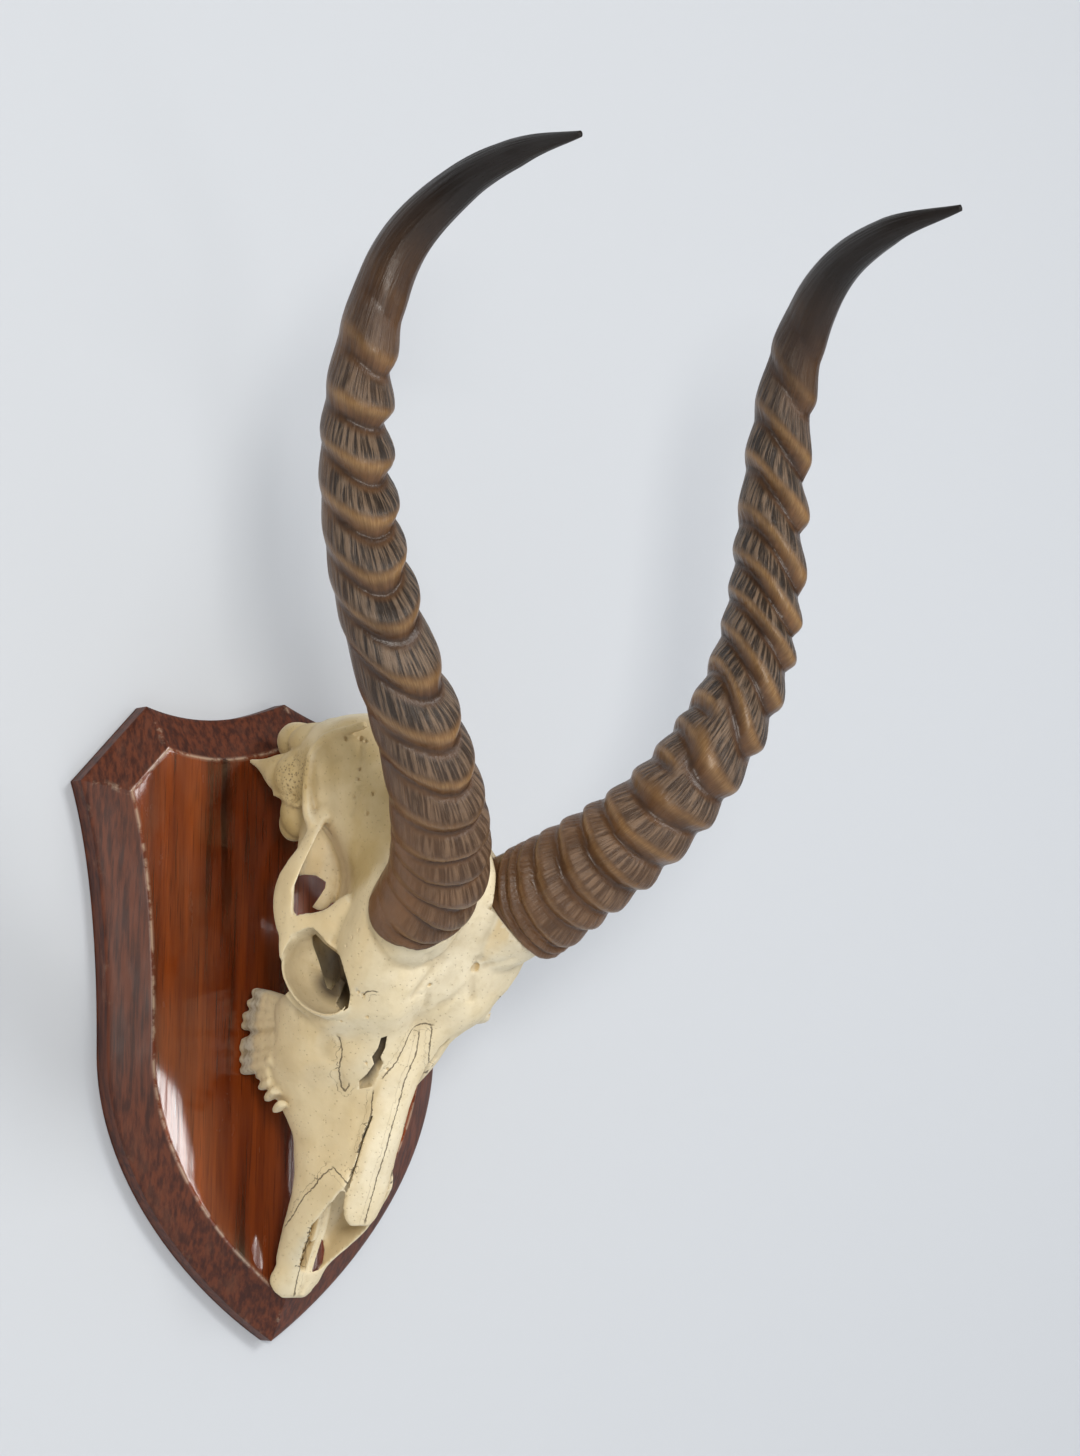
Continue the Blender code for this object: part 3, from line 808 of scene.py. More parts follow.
def keratin(streaks, grime_and_shade):
    """Brown horn: striated dark faces, tan worn lips, painted shade in the grooves between the rings, a
    warm smooth base and a nearly black tip.
    """
    made, r, shader = new_material("ringed_horn")
    sleeve = r.attribute("sleeve", "Vector")
    fibres = r.group(streaks, Vector=r.stretch(sleeve, (1.0, 1.0, 0.085)), Coarse=620.0, Fine=1700.0)
    coarse, fine = fibres.outputs["Coarse"], fibres.outputs["Fine"]
    patch = r.noise(r.place(), 30.0, 5.0)
    along, front = r.attribute("along"), r.attribute("front")
    lip, striae, hollow = r.attribute("lip"), r.attribute("striae"), r.attribute("hollow")
    plain = r.mix(r.ramp(patch, 0.34, 0.66), (0.092, 0.042, 0.018), (0.180, 0.086, 0.034))
    plain = r.mix(r.ramp(coarse, 0.40, 0.62, 0.0, 0.35), plain, (0.050, 0.025, 0.013))
    grey = r.mix(r.ramp(coarse, 0.42, 0.62), (0.030, 0.019, 0.012), (0.190, 0.125, 0.078))
    tan = r.mix(r.ramp(fine, 0.35, 0.70), (0.235, 0.125, 0.046), (0.370, 0.225, 0.095))
    on_lip = r.times(lip, r.ramp(patch, 0.30, 0.60, 0.55, 1.0))
    body = r.mix(r.times(on_lip, 0.85), r.mix(striae, plain, grey), tan)
    # Painted shade: the grooves between the rings are darkened towards black brown.
    body = r.mix(r.times(hollow, 0.55), body, (0.030, 0.018, 0.013))
    warm = r.times(r.ramp(along, 0.34, 0.04), r.ramp(front, 0.95, 0.30, 0.45, 1.0))
    body = r.mix(r.times(warm, 0.72), body, (0.215, 0.098, 0.036))
    body = r.mix(r.ramp(along, 0.60, 0.86), body, (0.0125, 0.0085, 0.0065))
    # Dirt patches and painted shade, gathered in the grooves.
    dirt_and_shade = r.group(grime_and_shade, Vector=r.place(), Scale=80.0, Gather=hollow, Amount=0.35)
    cut = r.plus(0.15, r.times(striae, 0.85))
    r.fill(shader, {
        "Base Color": r.mix(dirt_and_shade.outputs["Mask"], body, (0.020, 0.013, 0.010)),
        "Roughness": r.plus(r.ramp(fine, 0.3, 0.7, 0.27, 0.38), r.times(striae, 0.10)),
        "Normal": r.bump(fine, 0.35, 0.00022, r.bump(r.times(coarse, cut), 0.9, 0.0016)),
        "Specular IOR Level": 0.42,
    })
    return made


# Skull

# Half sections: height, then points (x, y) in millimetres from the forehead's middle line round the
# side to the middle line of the underside, which faces the shield.
SKULL_SECTIONS = [
    (151, [(0, -104), (10, -102), (17, -88), (14, -68), (8, -57), (0, -54)]),
    (146, [(0, -113), (18, -109), (28, -97), (27, -74), (16, -54), (0, -46)]),
    (138, [(0, -122), (22, -118), (36, -103), (35, -84), (26, -58), (0, -40)]),
    (124, [(0, -136), (24, -130), (33, -112), (37, -84), (29, -58), (0, -38)]),
    (110, [(0, -150), (26, -143), (34, -122), (37, -85), (30, -62), (0, -42)]),
    (95, [(0, -163), (24, -146), (34, -130), (36, -100), (27, -78), (0, -48)]),
    (82, [(0, -172), (20, -154), (36, -136), (35, -110), (24, -88), (0, -57)]),
    (66, [(0, -179), (24, -162), (42, -150), (38, -124), (20, -88), (0, -60)]),
    (50, [(0, -175), (30, -171), (51, -153), (43, -122), (18, -80), (0, -60)]),
    (38, [(0, -166), (32, -164), (53, -147), (44, -116), (18, -78), (0, -60)]),
    (26, [(0, -156), (30, -156), (52, -143.5), (46, -116), (20, -76), (0, -60)]),
    (16, [(0, -148), (26, -151), (47, -141), (49, -116), (27, -72), (0, -60)]),
    (8, [(0, -141), (24, -146), (42, -136), (50, -112), (38, -62), (0, -58)]),
    (-2, [(0, -129), (22, -138), (37, -129), (46, -110), (39, -60), (0, -56)]),
    (-12, [(0, -124), (20, -125), (32, -112), (43, -90), (37, -58), (0, -55)]),
    (-24, [(0, -119), (20, -113), (31, -100), (40, -78), (34, -50), (0, -52)]),
    (-36, [(0, -114), (13, -108), (23, -93), (34, -70), (30, -46), (0, -49)]),
    (-46, [(0, -109), (12, -103), (21, -88), (29, -66), (25, -49), (0, -48)]),
    (-60, [(0, -102), (12, -97), (19, -85), (25, -67), (20, -52), (0, -50)]),
    (-72, [(0, -96), (12, -92), (18, -81), (23.5, -66), (19, -52), (0, -49)]),
    (-84, [(0, -89), (14, -89), (19, -80), (23, -64), (19, -52), (0, -48)]),
    (-95, [(0, -78), (16, -78), (21, -69), (22.5, -57), (17, -46), (0, -44)]),
    (-105, [(0, -66.5), (17, -67), (22, -58), (20.5, -46), (14, -40), (0, -39)]),
    (-115, [(0, -55.5), (13, -56), (18.5, -48), (17.5, -38), (11, -34), (0, -34)]),
    (-124, [(0, -45), (9, -45), (14, -39), (14.5, -31.5), (9, -28), (0, -28)]),
    (-132, [(0, -38), (8, -38), (14, -32), (14.5, -26.5), (8, -24.5), (0, -25)]),
    (-138, [(0, -33), (6, -33.5), (11, -29.5), (11.5, -26), (6, -24.5), (0, -25)]),
    (-142, [(0, -29.5), (3, -30), (6.5, -28.5), (6.5, -26.5), (3, -25.5), (0, -26)]),
]
# Each nasal bone: height, half width, depth of the middle line and drop of its outer edge
NASAL_BONES = [(-4, 4, -127, 0), (-18, 8.5, -122, 2), (-31, 11.5, -117, 4), (-44, 12.4, -111.5, 6),
               (-60, 13, -105, 7), (-80, 13.4, -95.6, 6.4), (-92, 12.6, -90, 5),
               (-99, 10.5, -86.6, 3.6), (-104, 6.5, -84.2, 2)]
NASAL_THICKNESS = 3.2
# The hollow of the snout: height, half width, front, floor
NOSE_HOLLOW = [(-52, 4, -92, -80), (-62, 8, -98, -72), (-74, 11.5, -100, -64),
               (-84, 13.5, -104, -59), (-95, 16.5, -98, -50), (-105, 17.5, -86, -43.5),
               (-115, 13.5, -74, -37.5), (-124, 8.5, -60, -33), (-129, 4, -50, -32)]

# Traced from the photo: pixel x, pixel y, distance from the skull's middle plane in millimetres
EYE_RIM = [(316, 928, -52), (305, 930, -54.5), (295, 937, -56.7), (285, 950, -59.5),
           (281.5, 965, -60.5), (283.5, 978, -60), (289, 990, -58.8), (297, 1001, -57),
           (307, 1009, -55), (320, 1014.5, -52), (334, 1014.5, -49), (345, 1008, -46),
           (351.5, 997, -44.5), (353, 984, -44), (351.5, 973, -44.3), (348, 961, -45),
           (339, 951, -47), (327, 942, -49.7)]
# An eye socket's bowl: scales of its rim and depths into the skull, for the hollow and for the bone
EYE_CUP_ROWS = [(1.0, -14), (0.99, -1), (0.96, 2), (0.96, 7), (0.90, 13), (0.74, 18), (0.45, 21),
                (0.12, 22)]
EYE_BLOCK_ROWS = [(0.5, -0.5), (1.0, -0.2), (1.05, 2), (1.06, 7), (1.02, 13), (0.92, 20),
                  (0.75, 27), (0.4, 34)]
EYE_INWARD = (0.88, 0.46, -0.06)
EYE_DARK = [(311, 929), (313, 945), (319, 962), (323, 975), (327, 988), (331, 990), (337, 982),
            (341, 978), (345, 983), (341, 994), (336, 1003), (342, 1012), (348, 1008), (350, 998),
            (350, 984), (349, 974), (345, 961), (337, 953), (325, 944), (314, 932)]
CHEEK_ARCH = [(332, 800, -31, 5, 3), (318, 822, -39.5, 6, 3), (310, 840, -46.5, 5, 2.4),
              (303.5, 853, -50.5, 5.2, 2.1), (293, 869, -55, 6.6, 2), (285, 886, -57.5, 8.2, 2),
              (283.5, 902, -58.5, 8.6, 2.1), (284.5, 918, -58.8, 8.6, 2.3),
              (286, 932, -58.8, 7.4, 2.4), (284.5, 944, -59, 4.6, 2.2), (284, 958, -59.5, 2.2, 2)]
EYE_BAR = [(287, 926, -58.5, 5, 2.6), (300, 924, -56.5, 5, 2.6), (313, 923, -53, 5.2, 2.8),
           (326, 924, -49, 7.6, 5), (340, 922, -44.5, 10.5, 6), (356, 916, -40, 12, 7)]
FOSSA = [(325, 825), (331, 832), (336, 843), (338, 867), (340, 893), (326, 900), (313, 908),
         (296.5, 916), (294, 901), (294.5, 885), (302, 866), (311.5, 846), (318.5, 832)]
FOSSA_THROUGH = [(296, 877), (304, 874.5), (316, 875.5), (326, 882), (325, 888), (320, 896),
                 (311, 909), (297, 915), (294.5, 902), (294.3, 884)]
TEMPLE_CREST = [(366, 724, -32), (352, 729, -34.5), (338, 732.5, -36), (328, 737, -37),
                (318, 745, -38), (312, 754, -38.5), (309, 768, -38.5), (307, 790, -39),
                (308, 812, -40.5), (313, 828, -43)]
NECK_RIDGE = [(262, 761, -33), (276, 758, -32), (290, 755, -31), (306, 750, -31), (320, 741, -33)]
EAR_LIP = [(274, 793, -33), (284, 797, -33), (292, 803, -33.5), (299, 806, -35)]
JUGULAR_PROCESS = [(286, 778, -31, 10, 6), (274, 772, -32.5, 8.6, 4.5), (264, 766, -33, 5.2, 3),
                   (256, 762.5, -33, 2.6, 2), (250, 760.5, -33, 1, 1)]
CHEEK_RIDGE = [(288, 992, -52), (300, 1007, -47.5), (318, 1019, -42.5), (333, 1031, -36.5),
               (341, 1046, -30)]
# Ridges: line, radii along it in both directions and number of sections
RIDGES = [(TEMPLE_CREST, [2.2, 2.4, 2.4, 3], [2.2, 2.6, 2.6, 3], 60),
          (NECK_RIDGE, [1.2, 2.2, 2.6], [1.2, 2.2, 2.6], 24),
          (EAR_LIP, [1.6, 2.0, 1.4], [1.6, 2.4, 1.4], 24),
          (CHEEK_RIDGE, [2.4, 2.4, 2.5, 2.2], [2.4, 2.4, 2.5, 2.2], 24)]
# Bulges: pixel x, pixel y, distance from the middle plane, radii and lean in degrees
BULGES = [(301, 744, -13, (11, 15.5, 11), 20), (292, 777, -31, (7.5, 12.5, 11.5), 20),
          (300, 812, -25, (9, 12, 13), -10), (296, 822, -22, (8, 9.5, 10), 30),
          (315, 742, -20, (12, 16, 10), 0), (321, 853, -22, (11, 13, 29), 0),
          (326, 955, -20, (10, 22, 20), 0)]
LACRIMAL_GAP = [(387, 1036), (381, 1038), (378, 1048), (372, 1057), (374, 1064), (367, 1074),
                (359, 1081), (359.5, 1089), (371, 1086.5), (375.5, 1087), (372, 1103),
                (370.5, 1118), (373, 1118), (375.5, 1103), (378.5, 1088), (382, 1077),
                (379.5, 1069), (383, 1063), (380.5, 1057), (385, 1048)]
NOSE_GAP = [(371, 1116), (362, 1139), (357, 1158), (350.5, 1177), (344, 1189), (346.5, 1193),
            (351.5, 1180), (358.5, 1158), (364, 1139), (373, 1116)]
PALATE_HOLE = [(318, 1233), (323, 1241), (324.5, 1250), (322.5, 1263), (318, 1270), (312.5, 1272),
               (311, 1264), (313.5, 1248)]
TIP_NOTCH, TIP_NOTCH_RADII = (313, 1288, 11), (2.6, 12, 2.6)
SNOUT_BAR = [(2.3, -53, -92), (2.3, -49.5, -104), (2.3, -43.5, -116), (2.3, -37, -129),
             (2.3, -30, -140)]
# The cheek teeth from the back of the jaw: pixels of the cusp, and of the root
TEETH = [(256, 992, 279, 1000), (251, 1003, 279, 1008), (246, 1016, 277, 1016),
         (245, 1026, 275, 1024), (245, 1042, 273, 1037), (243.5, 1048, 273, 1044),
         (243.5, 1060, 272, 1053), (244, 1071, 268, 1063), (251, 1080, 266, 1074),
         (254.5, 1092, 267, 1084), (262, 1104, 272, 1094), (271, 1115, 280, 1106)]
TOOTH_CUSP_SIDE, TOOTH_ROOT_SIDE = -31.0, -35.0
LARGE_TEETH = 8
TOOTH_RADII = [3.0, 3.3, 3.2, 2.3], [4.6, 4.8, 4.4, 3.2]
PITS = [(346, 738.6, 1.0), (361, 738.6, 1.1), (354, 733, 0.8), (366, 741, 0.8), (360.4, 769, 0.8),
        (358.9, 779.4, 0.7), (373, 793.7, 0.9), (367.6, 813.6, 0.8), (354.3, 796.7, 0.6),
        (367, 1017, 0.9), (366, 1063, 0.7), (387, 1069, 0.6), (363, 995, 1.0), (358, 992, 0.7),
        (305, 787, 0.8), (429, 985, 1.0), (475, 967, 2.2), (346, 946, 0.6), (352, 937, 0.5),
        (340, 936, 0.5), (358, 930, 0.5), (341, 1021, 0.7)]
# Shallow grooves: pixels of the line, half width and depth in millimetres
GROOVES = [([(430, 955), (429, 972), (428, 990), (426, 1005)], 2.6, 1.1),
           ([(478, 962), (474, 978), (472, 998)], 3.4, 1.6),
           ([(361, 740), (360, 765), (358, 790), (352, 815)], 1.8, 0.8),
           ([(337, 1035), (341, 1048), (340, 1067), (342, 1085)], 2.2, 0.8),
           ([(296, 1012), (312, 1026), (326, 1040), (330, 1056)], 6.0, 1.1),
           ([(333, 760), (331, 785), (333, 808)], 8.0, 1.3)]
# Sutures, in sets whose lines lie well apart
SUTURES = {
    "seam_a": ([[(419, 1028), (416.5, 1051), (411, 1066), (406, 1077), (398, 1106), (390, 1134),
                 (385, 1153), (376, 1181), (369, 1207), (364, 1226)]],
               [[(334, 1167), (324, 1174), (313, 1188), (303, 1198), (295, 1212), (284, 1228)]]),
    "seam_b": ([[(414, 1027), (409, 1035), (402, 1051), (393, 1066), (381, 1079)],
                [(432, 1025), (429.5, 1049), (426, 1077), (414, 1096)],
                [(294, 1298), (297, 1280), (304, 1252), (312, 1224)]],
               [[(337, 1035), (341, 1043), (341.6, 1057), (339.6, 1067), (340, 1080), (345, 1091),
                 (350, 1083)],
                [(333, 1167), (341, 1176), (348, 1184)]]),
    "seam_c": ([[(414, 1027), (423, 1024), (432, 1025)]],
               [[(374, 1090), (372, 1104), (370, 1118), (362, 1139), (357, 1158), (350, 1178)],
                [(363, 995), (369, 991), (377, 992)]]),
}
# Painted shade inside the holes: pixel, distance from the middle plane and radius in millimetres
SHADED_HOLE_SPOTS = ((331, 962, -25, 13), (337, 985, -30, 12), (300, 801, -34.5, 4.0),
              (381, 1050, -15, 14), (372, 1075, -17, 14), (360, 1150, -14, 12),
              (372, 1110, -15, 14), (350, 1180, -12, 8))
POROUS_SPOTS = ((291, 777, -38, 15), (305, 766, -38, 8), (300, 748, -20, 8))
OCHRE_SPOTS = ((350, 745, -34, 26), (300, 750, -22, 24), (290, 778, -38, 24), (375, 800, -38, 32),
               (362, 860, -38, 20), (300, 820, -26, 18))
SEAM_REACH = 0.003
HOLLOW_REACH = 0.0035
SKULL_VOXEL = 0.00115
SKULL_SHARE = 0.62
CONTACT_GAP = 0.0003
MEND_REACH = 0.00004
MEND_ROUNDS = 3


def seen(x, y, across):
    """The point, in millimetres, where a pixel's ray is the given distance from the middle plane."""
    ray = pixel_ray(x, y)
    return tuple((CAMERA_PLACE + ray * ((across * MM - CAMERA_PLACE.x) / ray.x)) / MM)


def seen_line(trace):
    return [seen(x, y, across) for x, y, across in trace]


def add_rod(points, wide, deep, front=(0.0, -1.0, 0.0), count=24, sides=20):
    """A bar of oval section along a path given in millimetres."""
    path = catmull(points, count) * MM
    at = np.linspace(0.0, 1.0, count)
    reach = [np.interp(at, np.linspace(0.0, 1.0, len(radii)), radii) * MM for radii in (wide, deep)]
    _, fronts, across = path_frames(path, np.array(front))
    turn = np.linspace(0.0, 2 * math.pi, sides, endpoint=False)
    return wrapped_grid("shell", path[:, None, :]
                        + fronts[:, None, :] * (reach[0][:, None] * np.cos(turn))[:, :, None]
                        + across[:, None, :] * (reach[1][:, None] * np.sin(turn))[:, :, None])


def add_traced_bar(trace, sign, front, count=48):
    """A flat bar along a traced line whose last two values are its half width and half thickness."""
    line = mirrored([seen(x, y, across) for x, y, across, _, _ in trace], sign)
    return add_rod(line, [row[3] for row in trace], [row[4] for row in trace], front=front, count=count)


def add_egg(centre, radii, lean=0.0):
    """An egg shape in millimetres, leaning about X by an angle in degrees."""
    deselect_all()
    bpy.ops.mesh.primitive_uv_sphere_add(segments=32, ring_count=20, radius=1.0)
    egg = bpy.context.object
    tilt = Matrix.Rotation(math.radians(lean), 4, "X")
    reach = Matrix.Diagonal((*[radius * MM for radius in radii], 1.0))
    egg.data.transform(Matrix.Translation(Vector(centre) * MM) @ tilt @ reach)
    return egg


def add_prism(outline, near, far, sign):
    """What lies behind a traced outline, between two distances from the skull's middle plane."""
    rows = [mirrored([seen(x, y, across) for x, y in outline], sign)
            for across in np.linspace(near, far, 4)]
    return wrapped_grid("prism", np.array(rows) * MM)


def mirrored(points, sign):
    """Points traced on the near side, moved over to the side whose sign is given."""
    return [(-sign * x, y, z) for x, y, z in points]


def join_pieces(pieces, name):
    deselect_all()
    for piece in pieces:
        piece.select_set(True)
    bpy.context.view_layer.objects.active = pieces[0]
    if len(pieces) > 1:
        bpy.ops.object.join()
    joined = bpy.context.object
    joined.name = name
    joined.data.name = name
    return joined


def cut_away(piece, cutters):
    """Takes the cutters' shapes out of a piece, one after another."""
    for cutter in cutters:
        apply_step(piece, "BOOLEAN", operation="DIFFERENCE", solver="EXACT", object=cutter)
        bpy.data.objects.remove(cutter, do_unlink=True)
    return piece


def select_unsound(every):
    """Selects the open edges of a mesh, and its other unsound edges too if every is true."""
    bpy.ops.mesh.select_all(action="DESELECT")
    bpy.ops.mesh.select_non_manifold(extend=False, use_wire=every, use_boundary=True, use_verts=False,
                                     use_multi_face=every, use_non_contiguous=every)


def mend(piece):
    """Removes the slivers that the cuts leave and closes the mesh again."""
    take(piece)
    bpy.ops.object.mode_set(mode="EDIT")
    bpy.ops.mesh.select_mode(type="EDGE")
    for _ in range(MEND_ROUNDS):
        on_all(bpy.ops.mesh.remove_doubles, threshold=MEND_REACH)
        on_all(bpy.ops.mesh.dissolve_degenerate, threshold=MEND_REACH)
        select_unsound(True)
        bpy.ops.mesh.select_more()
        bpy.ops.mesh.delete(type="FACE")
        on_all(bpy.ops.mesh.delete_loose)
        select_unsound(False)
        bpy.ops.mesh.fill_holes(sides=0)
        on_all(bpy.ops.mesh.quads_convert_to_tris)
    on_all(bpy.ops.mesh.normals_make_consistent, inside=False)
    bpy.ops.mesh.select_mode(type="VERT")
    bpy.ops.object.mode_set(mode="OBJECT")


def skull_body():
    """The box of the skull from the back of the head to the snout."""
    rings = []
    for height, half in SKULL_SECTIONS:
        ring = catmull(half + [(-x, y) for x, y in reversed(half[1:-1])], 72, closed=True)
        rings.append(np.column_stack([ring, np.full(len(ring), height)]))
    tower = np.array(rings)
    lines = np.array([catmull(tower[:, i], 150) for i in range(tower.shape[1])])
    body = wrapped_grid("skull_body", np.swapaxes(lines, 0, 1) * MM)
    rows = []
    for z, wide, front, floor in NOSE_HOLLOW:
        middle = (front + floor) / 2
        row = [(0, front, z), (wide, front, z), (wide, middle, z), (wide * 0.8, floor - 2, z),
               (0, floor, z), (-wide * 0.8, floor - 2, z), (-wide, middle, z), (-wide, front, z)]
        rows.append(catmull(row, 32, closed=True))
    return cut_away(body, [wrapped_grid("nose_hollow", np.array(rows) * MM)])


def eye_cup(sign):
    """The rounded hollow of an eye socket, from outside its rim to its floor."""
    return eye_bowl(sign, EYE_CUP_ROWS)


def eye_block(sign):
    """The thin-walled bowl of bone that an eye socket is hollowed out of."""
    return eye_bowl(sign, EYE_BLOCK_ROWS)


def eye_bowl(sign, rows):
    """A bowl whose rows are the eye rim's outline at a scale and a depth into the skull."""
    rim = catmull(mirrored(seen_line(EYE_RIM), sign), 40, closed=True)
    middle, inward = rim.mean(axis=0), np.array(EYE_INWARD) * (-sign, 1, 1)
    shaped = [middle + (rim - middle) * scale + inward * depth for scale, depth in rows]
    return wrapped_grid("eye_bowl", np.array(shaped) * MM)


def teeth(sign):
    """The cheek teeth of one side: bars of oval section that stand out of the jaw towards the shield.
    """
    made = []
    for number, (cusp_x, cusp_y, root_x, root_y) in enumerate(TEETH):
        cusp = np.array(mirrored([seen(cusp_x, cusp_y, TOOTH_CUSP_SIDE)], sign)[0])
        root = np.array(mirrored([seen(root_x, root_y, TOOTH_ROOT_SIDE)], sign)[0])
        deep = root + (root - cusp) * 0.35
        size = 1.0
        if number >= LARGE_TEETH:
            size, cusp = 0.66, root + (cusp - root) * 0.5
        wide, thick = ([radius * size for radius in radii] for radii in TOOTH_RADII)
        made.append(add_rod([deep, root, root + (cusp - root) * 0.6, cusp], wide, thick,
                            front=(0, 0, 1), count=14))
    return made


def nasal_bones():
    """The two long bones on the bridge of the nose, free at their lower ends."""
    shells = []
    for sign in (-1, 1):
        rows = []
        for z, wide, middle, drop in NASAL_BONES:
            steps = np.linspace(0.0, 1.0, 9)
            top = [(sign * wide * s, middle + drop * s**2.2 + 0.5 * (1 - s) ** 6, z) for s in steps]
            under = [(x * 0.94, y + NASAL_THICKNESS * (1.0 if i < 7 else 0.6), z)
                     for i, (x, y, z) in enumerate(top)]
            rows.append(top + under[::-1])
        smooth = np.array([catmull(np.array(rows)[:, i], 60) for i in range(18)])
        shells.append(wrapped_grid("nasal_bone", np.swapaxes(smooth, 0, 1) * MM))
    return shells


def skull_growths():
    """Everything that grows out of the body: arches, bars, processes, teeth and the horns' cores."""
    shells = nasal_bones()
    for sign in (-1, 1):
        shells.append(eye_block(sign))
        shells.append(add_traced_bar(CHEEK_ARCH, sign, (0, -1, 0)))
        shells.append(add_traced_bar(EYE_BAR, sign, (0, 0, 1)))
        shells.append(add_traced_bar(JUGULAR_PROCESS, sign, (0, 0, 1), 24))
        for trace, wide, thick, count in RIDGES:
            shells.append(add_rod(mirrored(seen_line(trace), sign), wide, thick, count=count))
        for x, y, across, radii, lean in BULGES:
            shells.append(add_egg(mirrored([seen(x, y, across)], sign)[0], radii, lean))
        shells += teeth(sign)
        shells.append(horn_core(sign))
        shells.append(add_rod([(sign * x, y, z) for x, y, z in SNOUT_BAR], [2.2, 2.2, 2.6, 3.4],
                              [1.9, 1.9, 2.0, 2.4]))
    return shells


def horn_core(sign):
    """The stump of bone that carries a horn."""
    path = horn_path(sign)
    inward = (path[0] - path[1]) / np.linalg.norm(path[0] - path[1])
    points = [tuple((path[0] + inward * depth) / MM) for depth in (-0.002, 0.012, 0.034)]
    return add_rod(points, [22.5, 22, 18], [24.5, 24, 20], count=10, sides=40)


def horn_socket(side):
    """The space that a horn and its contact gap take up in the skull."""
    form = HornForm(side, 90)
    first_step = form.path[1] - form.path[0]
    form.path[0] -= first_step / np.linalg.norm(first_step) * CONTACT_GAP
    turn = np.linspace(0.0, 2 * math.pi, 64, endpoint=False)
    return wrapped_grid("horn_socket", form.surface(turn, grow=CONTACT_GAP)[:30])


def rear_block():
    """A block that cuts the skull flat where it lies on the shield."""
    deselect_all()
    bpy.ops.mesh.primitive_cube_add(size=1.0)
    block = bpy.context.object
    low, high = Vector((-0.2, -BOARD_DEPTH - CONTACT_GAP, -0.3)), Vector((0.2, 0.1, 0.3))
    block.data.transform(Matrix.Translation((low + high) / 2) @ Matrix.Diagonal((*(high - low), 1.0)))
    return block


class Surface:
    """Finds where traced pixels fall on a piece."""

    def __init__(self, piece):
        self.tree = BVHTree.FromPolygons([v.co[:] for v in piece.data.vertices],
                                         [p.vertices[:] for p in piece.data.polygons])

    def hit(self, x, y):
        place, normal, _, _ = self.tree.ray_cast(CAMERA_PLACE, pixel_ray(x, y))
        return (place, normal) if place is not None else (None, None)

    def line(self, trace, step=1.5):
        """Points and normals close together along a traced line."""
        spots = [self.hit(x, y) for x, y in catmull(trace, max(4, int(trace_length(trace) / step)))]
        spots = [(place, normal) for place, normal in spots if place is not None]
        return np.array([place for place, _ in spots]), np.array([normal for _, normal in spots])

    def other_side(self, places):
        """The same places on the skull's other half."""
        spots = [self.tree.find_nearest(Vector((-x, y, z))) for x, y, z in places]
        return np.array([spot[0] for spot in spots]), np.array([spot[1] for spot in spots])


def trace_length(trace):
    return np.linalg.norm(np.diff(np.array(trace, dtype=float), axis=0), axis=1).sum()


def closest(samples, wanted):
    """For each wanted point, the nearest sample's number and its distance."""
    tree = KDTree(len(samples))
    for i, point in enumerate(samples):
        tree.insert(point, i)
    tree.balance()
    found = [tree.find(point) for point in wanted]
    return np.array([spot[1] for spot in found]), np.array([spot[2] for spot in found])


def carve_surface(skull):
    """Sinks the grooves and roughens the bone, more where it is porous."""
    surface = Surface(skull)
    points, normals = points_of(skull), normals_of(skull)
    sink = np.zeros(len(points))
    for trace, half_width, depth in GROOVES:
        places, _ = surface.line(trace)
        if len(places) < 2:
            continue
        for line in (places, surface.other_side(places)[0]):
            away = closest(line, points)[1]
            sink = np.maximum(sink, depth * MM * np.exp(-(away / (half_width * MM)) ** 2))
    porous = porous_mask(points)
    lumps = wobble(points, 0.010, 2.0) * 0.00035 + wobble(points, 0.0036, 5.0) * 0.00012
    lumps += porous * (wobble(points, 0.0032, 9.0) * 0.0007)
    put_points(skull, points + normals * (lumps - sink)[:, None])


def mask_of_spots(points, spots):
    """Soft spots on both sides of the skull, from their places on the near side and their radii."""
    mask = np.zeros(len(points))
    for x, y, across, radius in spots:
        centre = np.array(seen(x, y, across)) * MM
        for sign in (-1.0, 1.0):
            away = np.linalg.norm(points - centre * (-sign, 1, 1), axis=1)
            mask = np.maximum(mask, 1.0 - smooth_step(radius * 0.55 * MM, radius * 1.15 * MM, away))
    return mask


def porous_mask(points):
    return mask_of_spots(points, POROUS_SPOTS)


def pit_cutters(surface):
    """Small round holes where the photo shows them."""
    made = []
    for x, y, radius in PITS:
        place, normal = surface.hit(x, y)
        if place is not None:
            made.append(add_egg(tuple(place / MM), (radius, radius, radius * 1.4)))
    return made


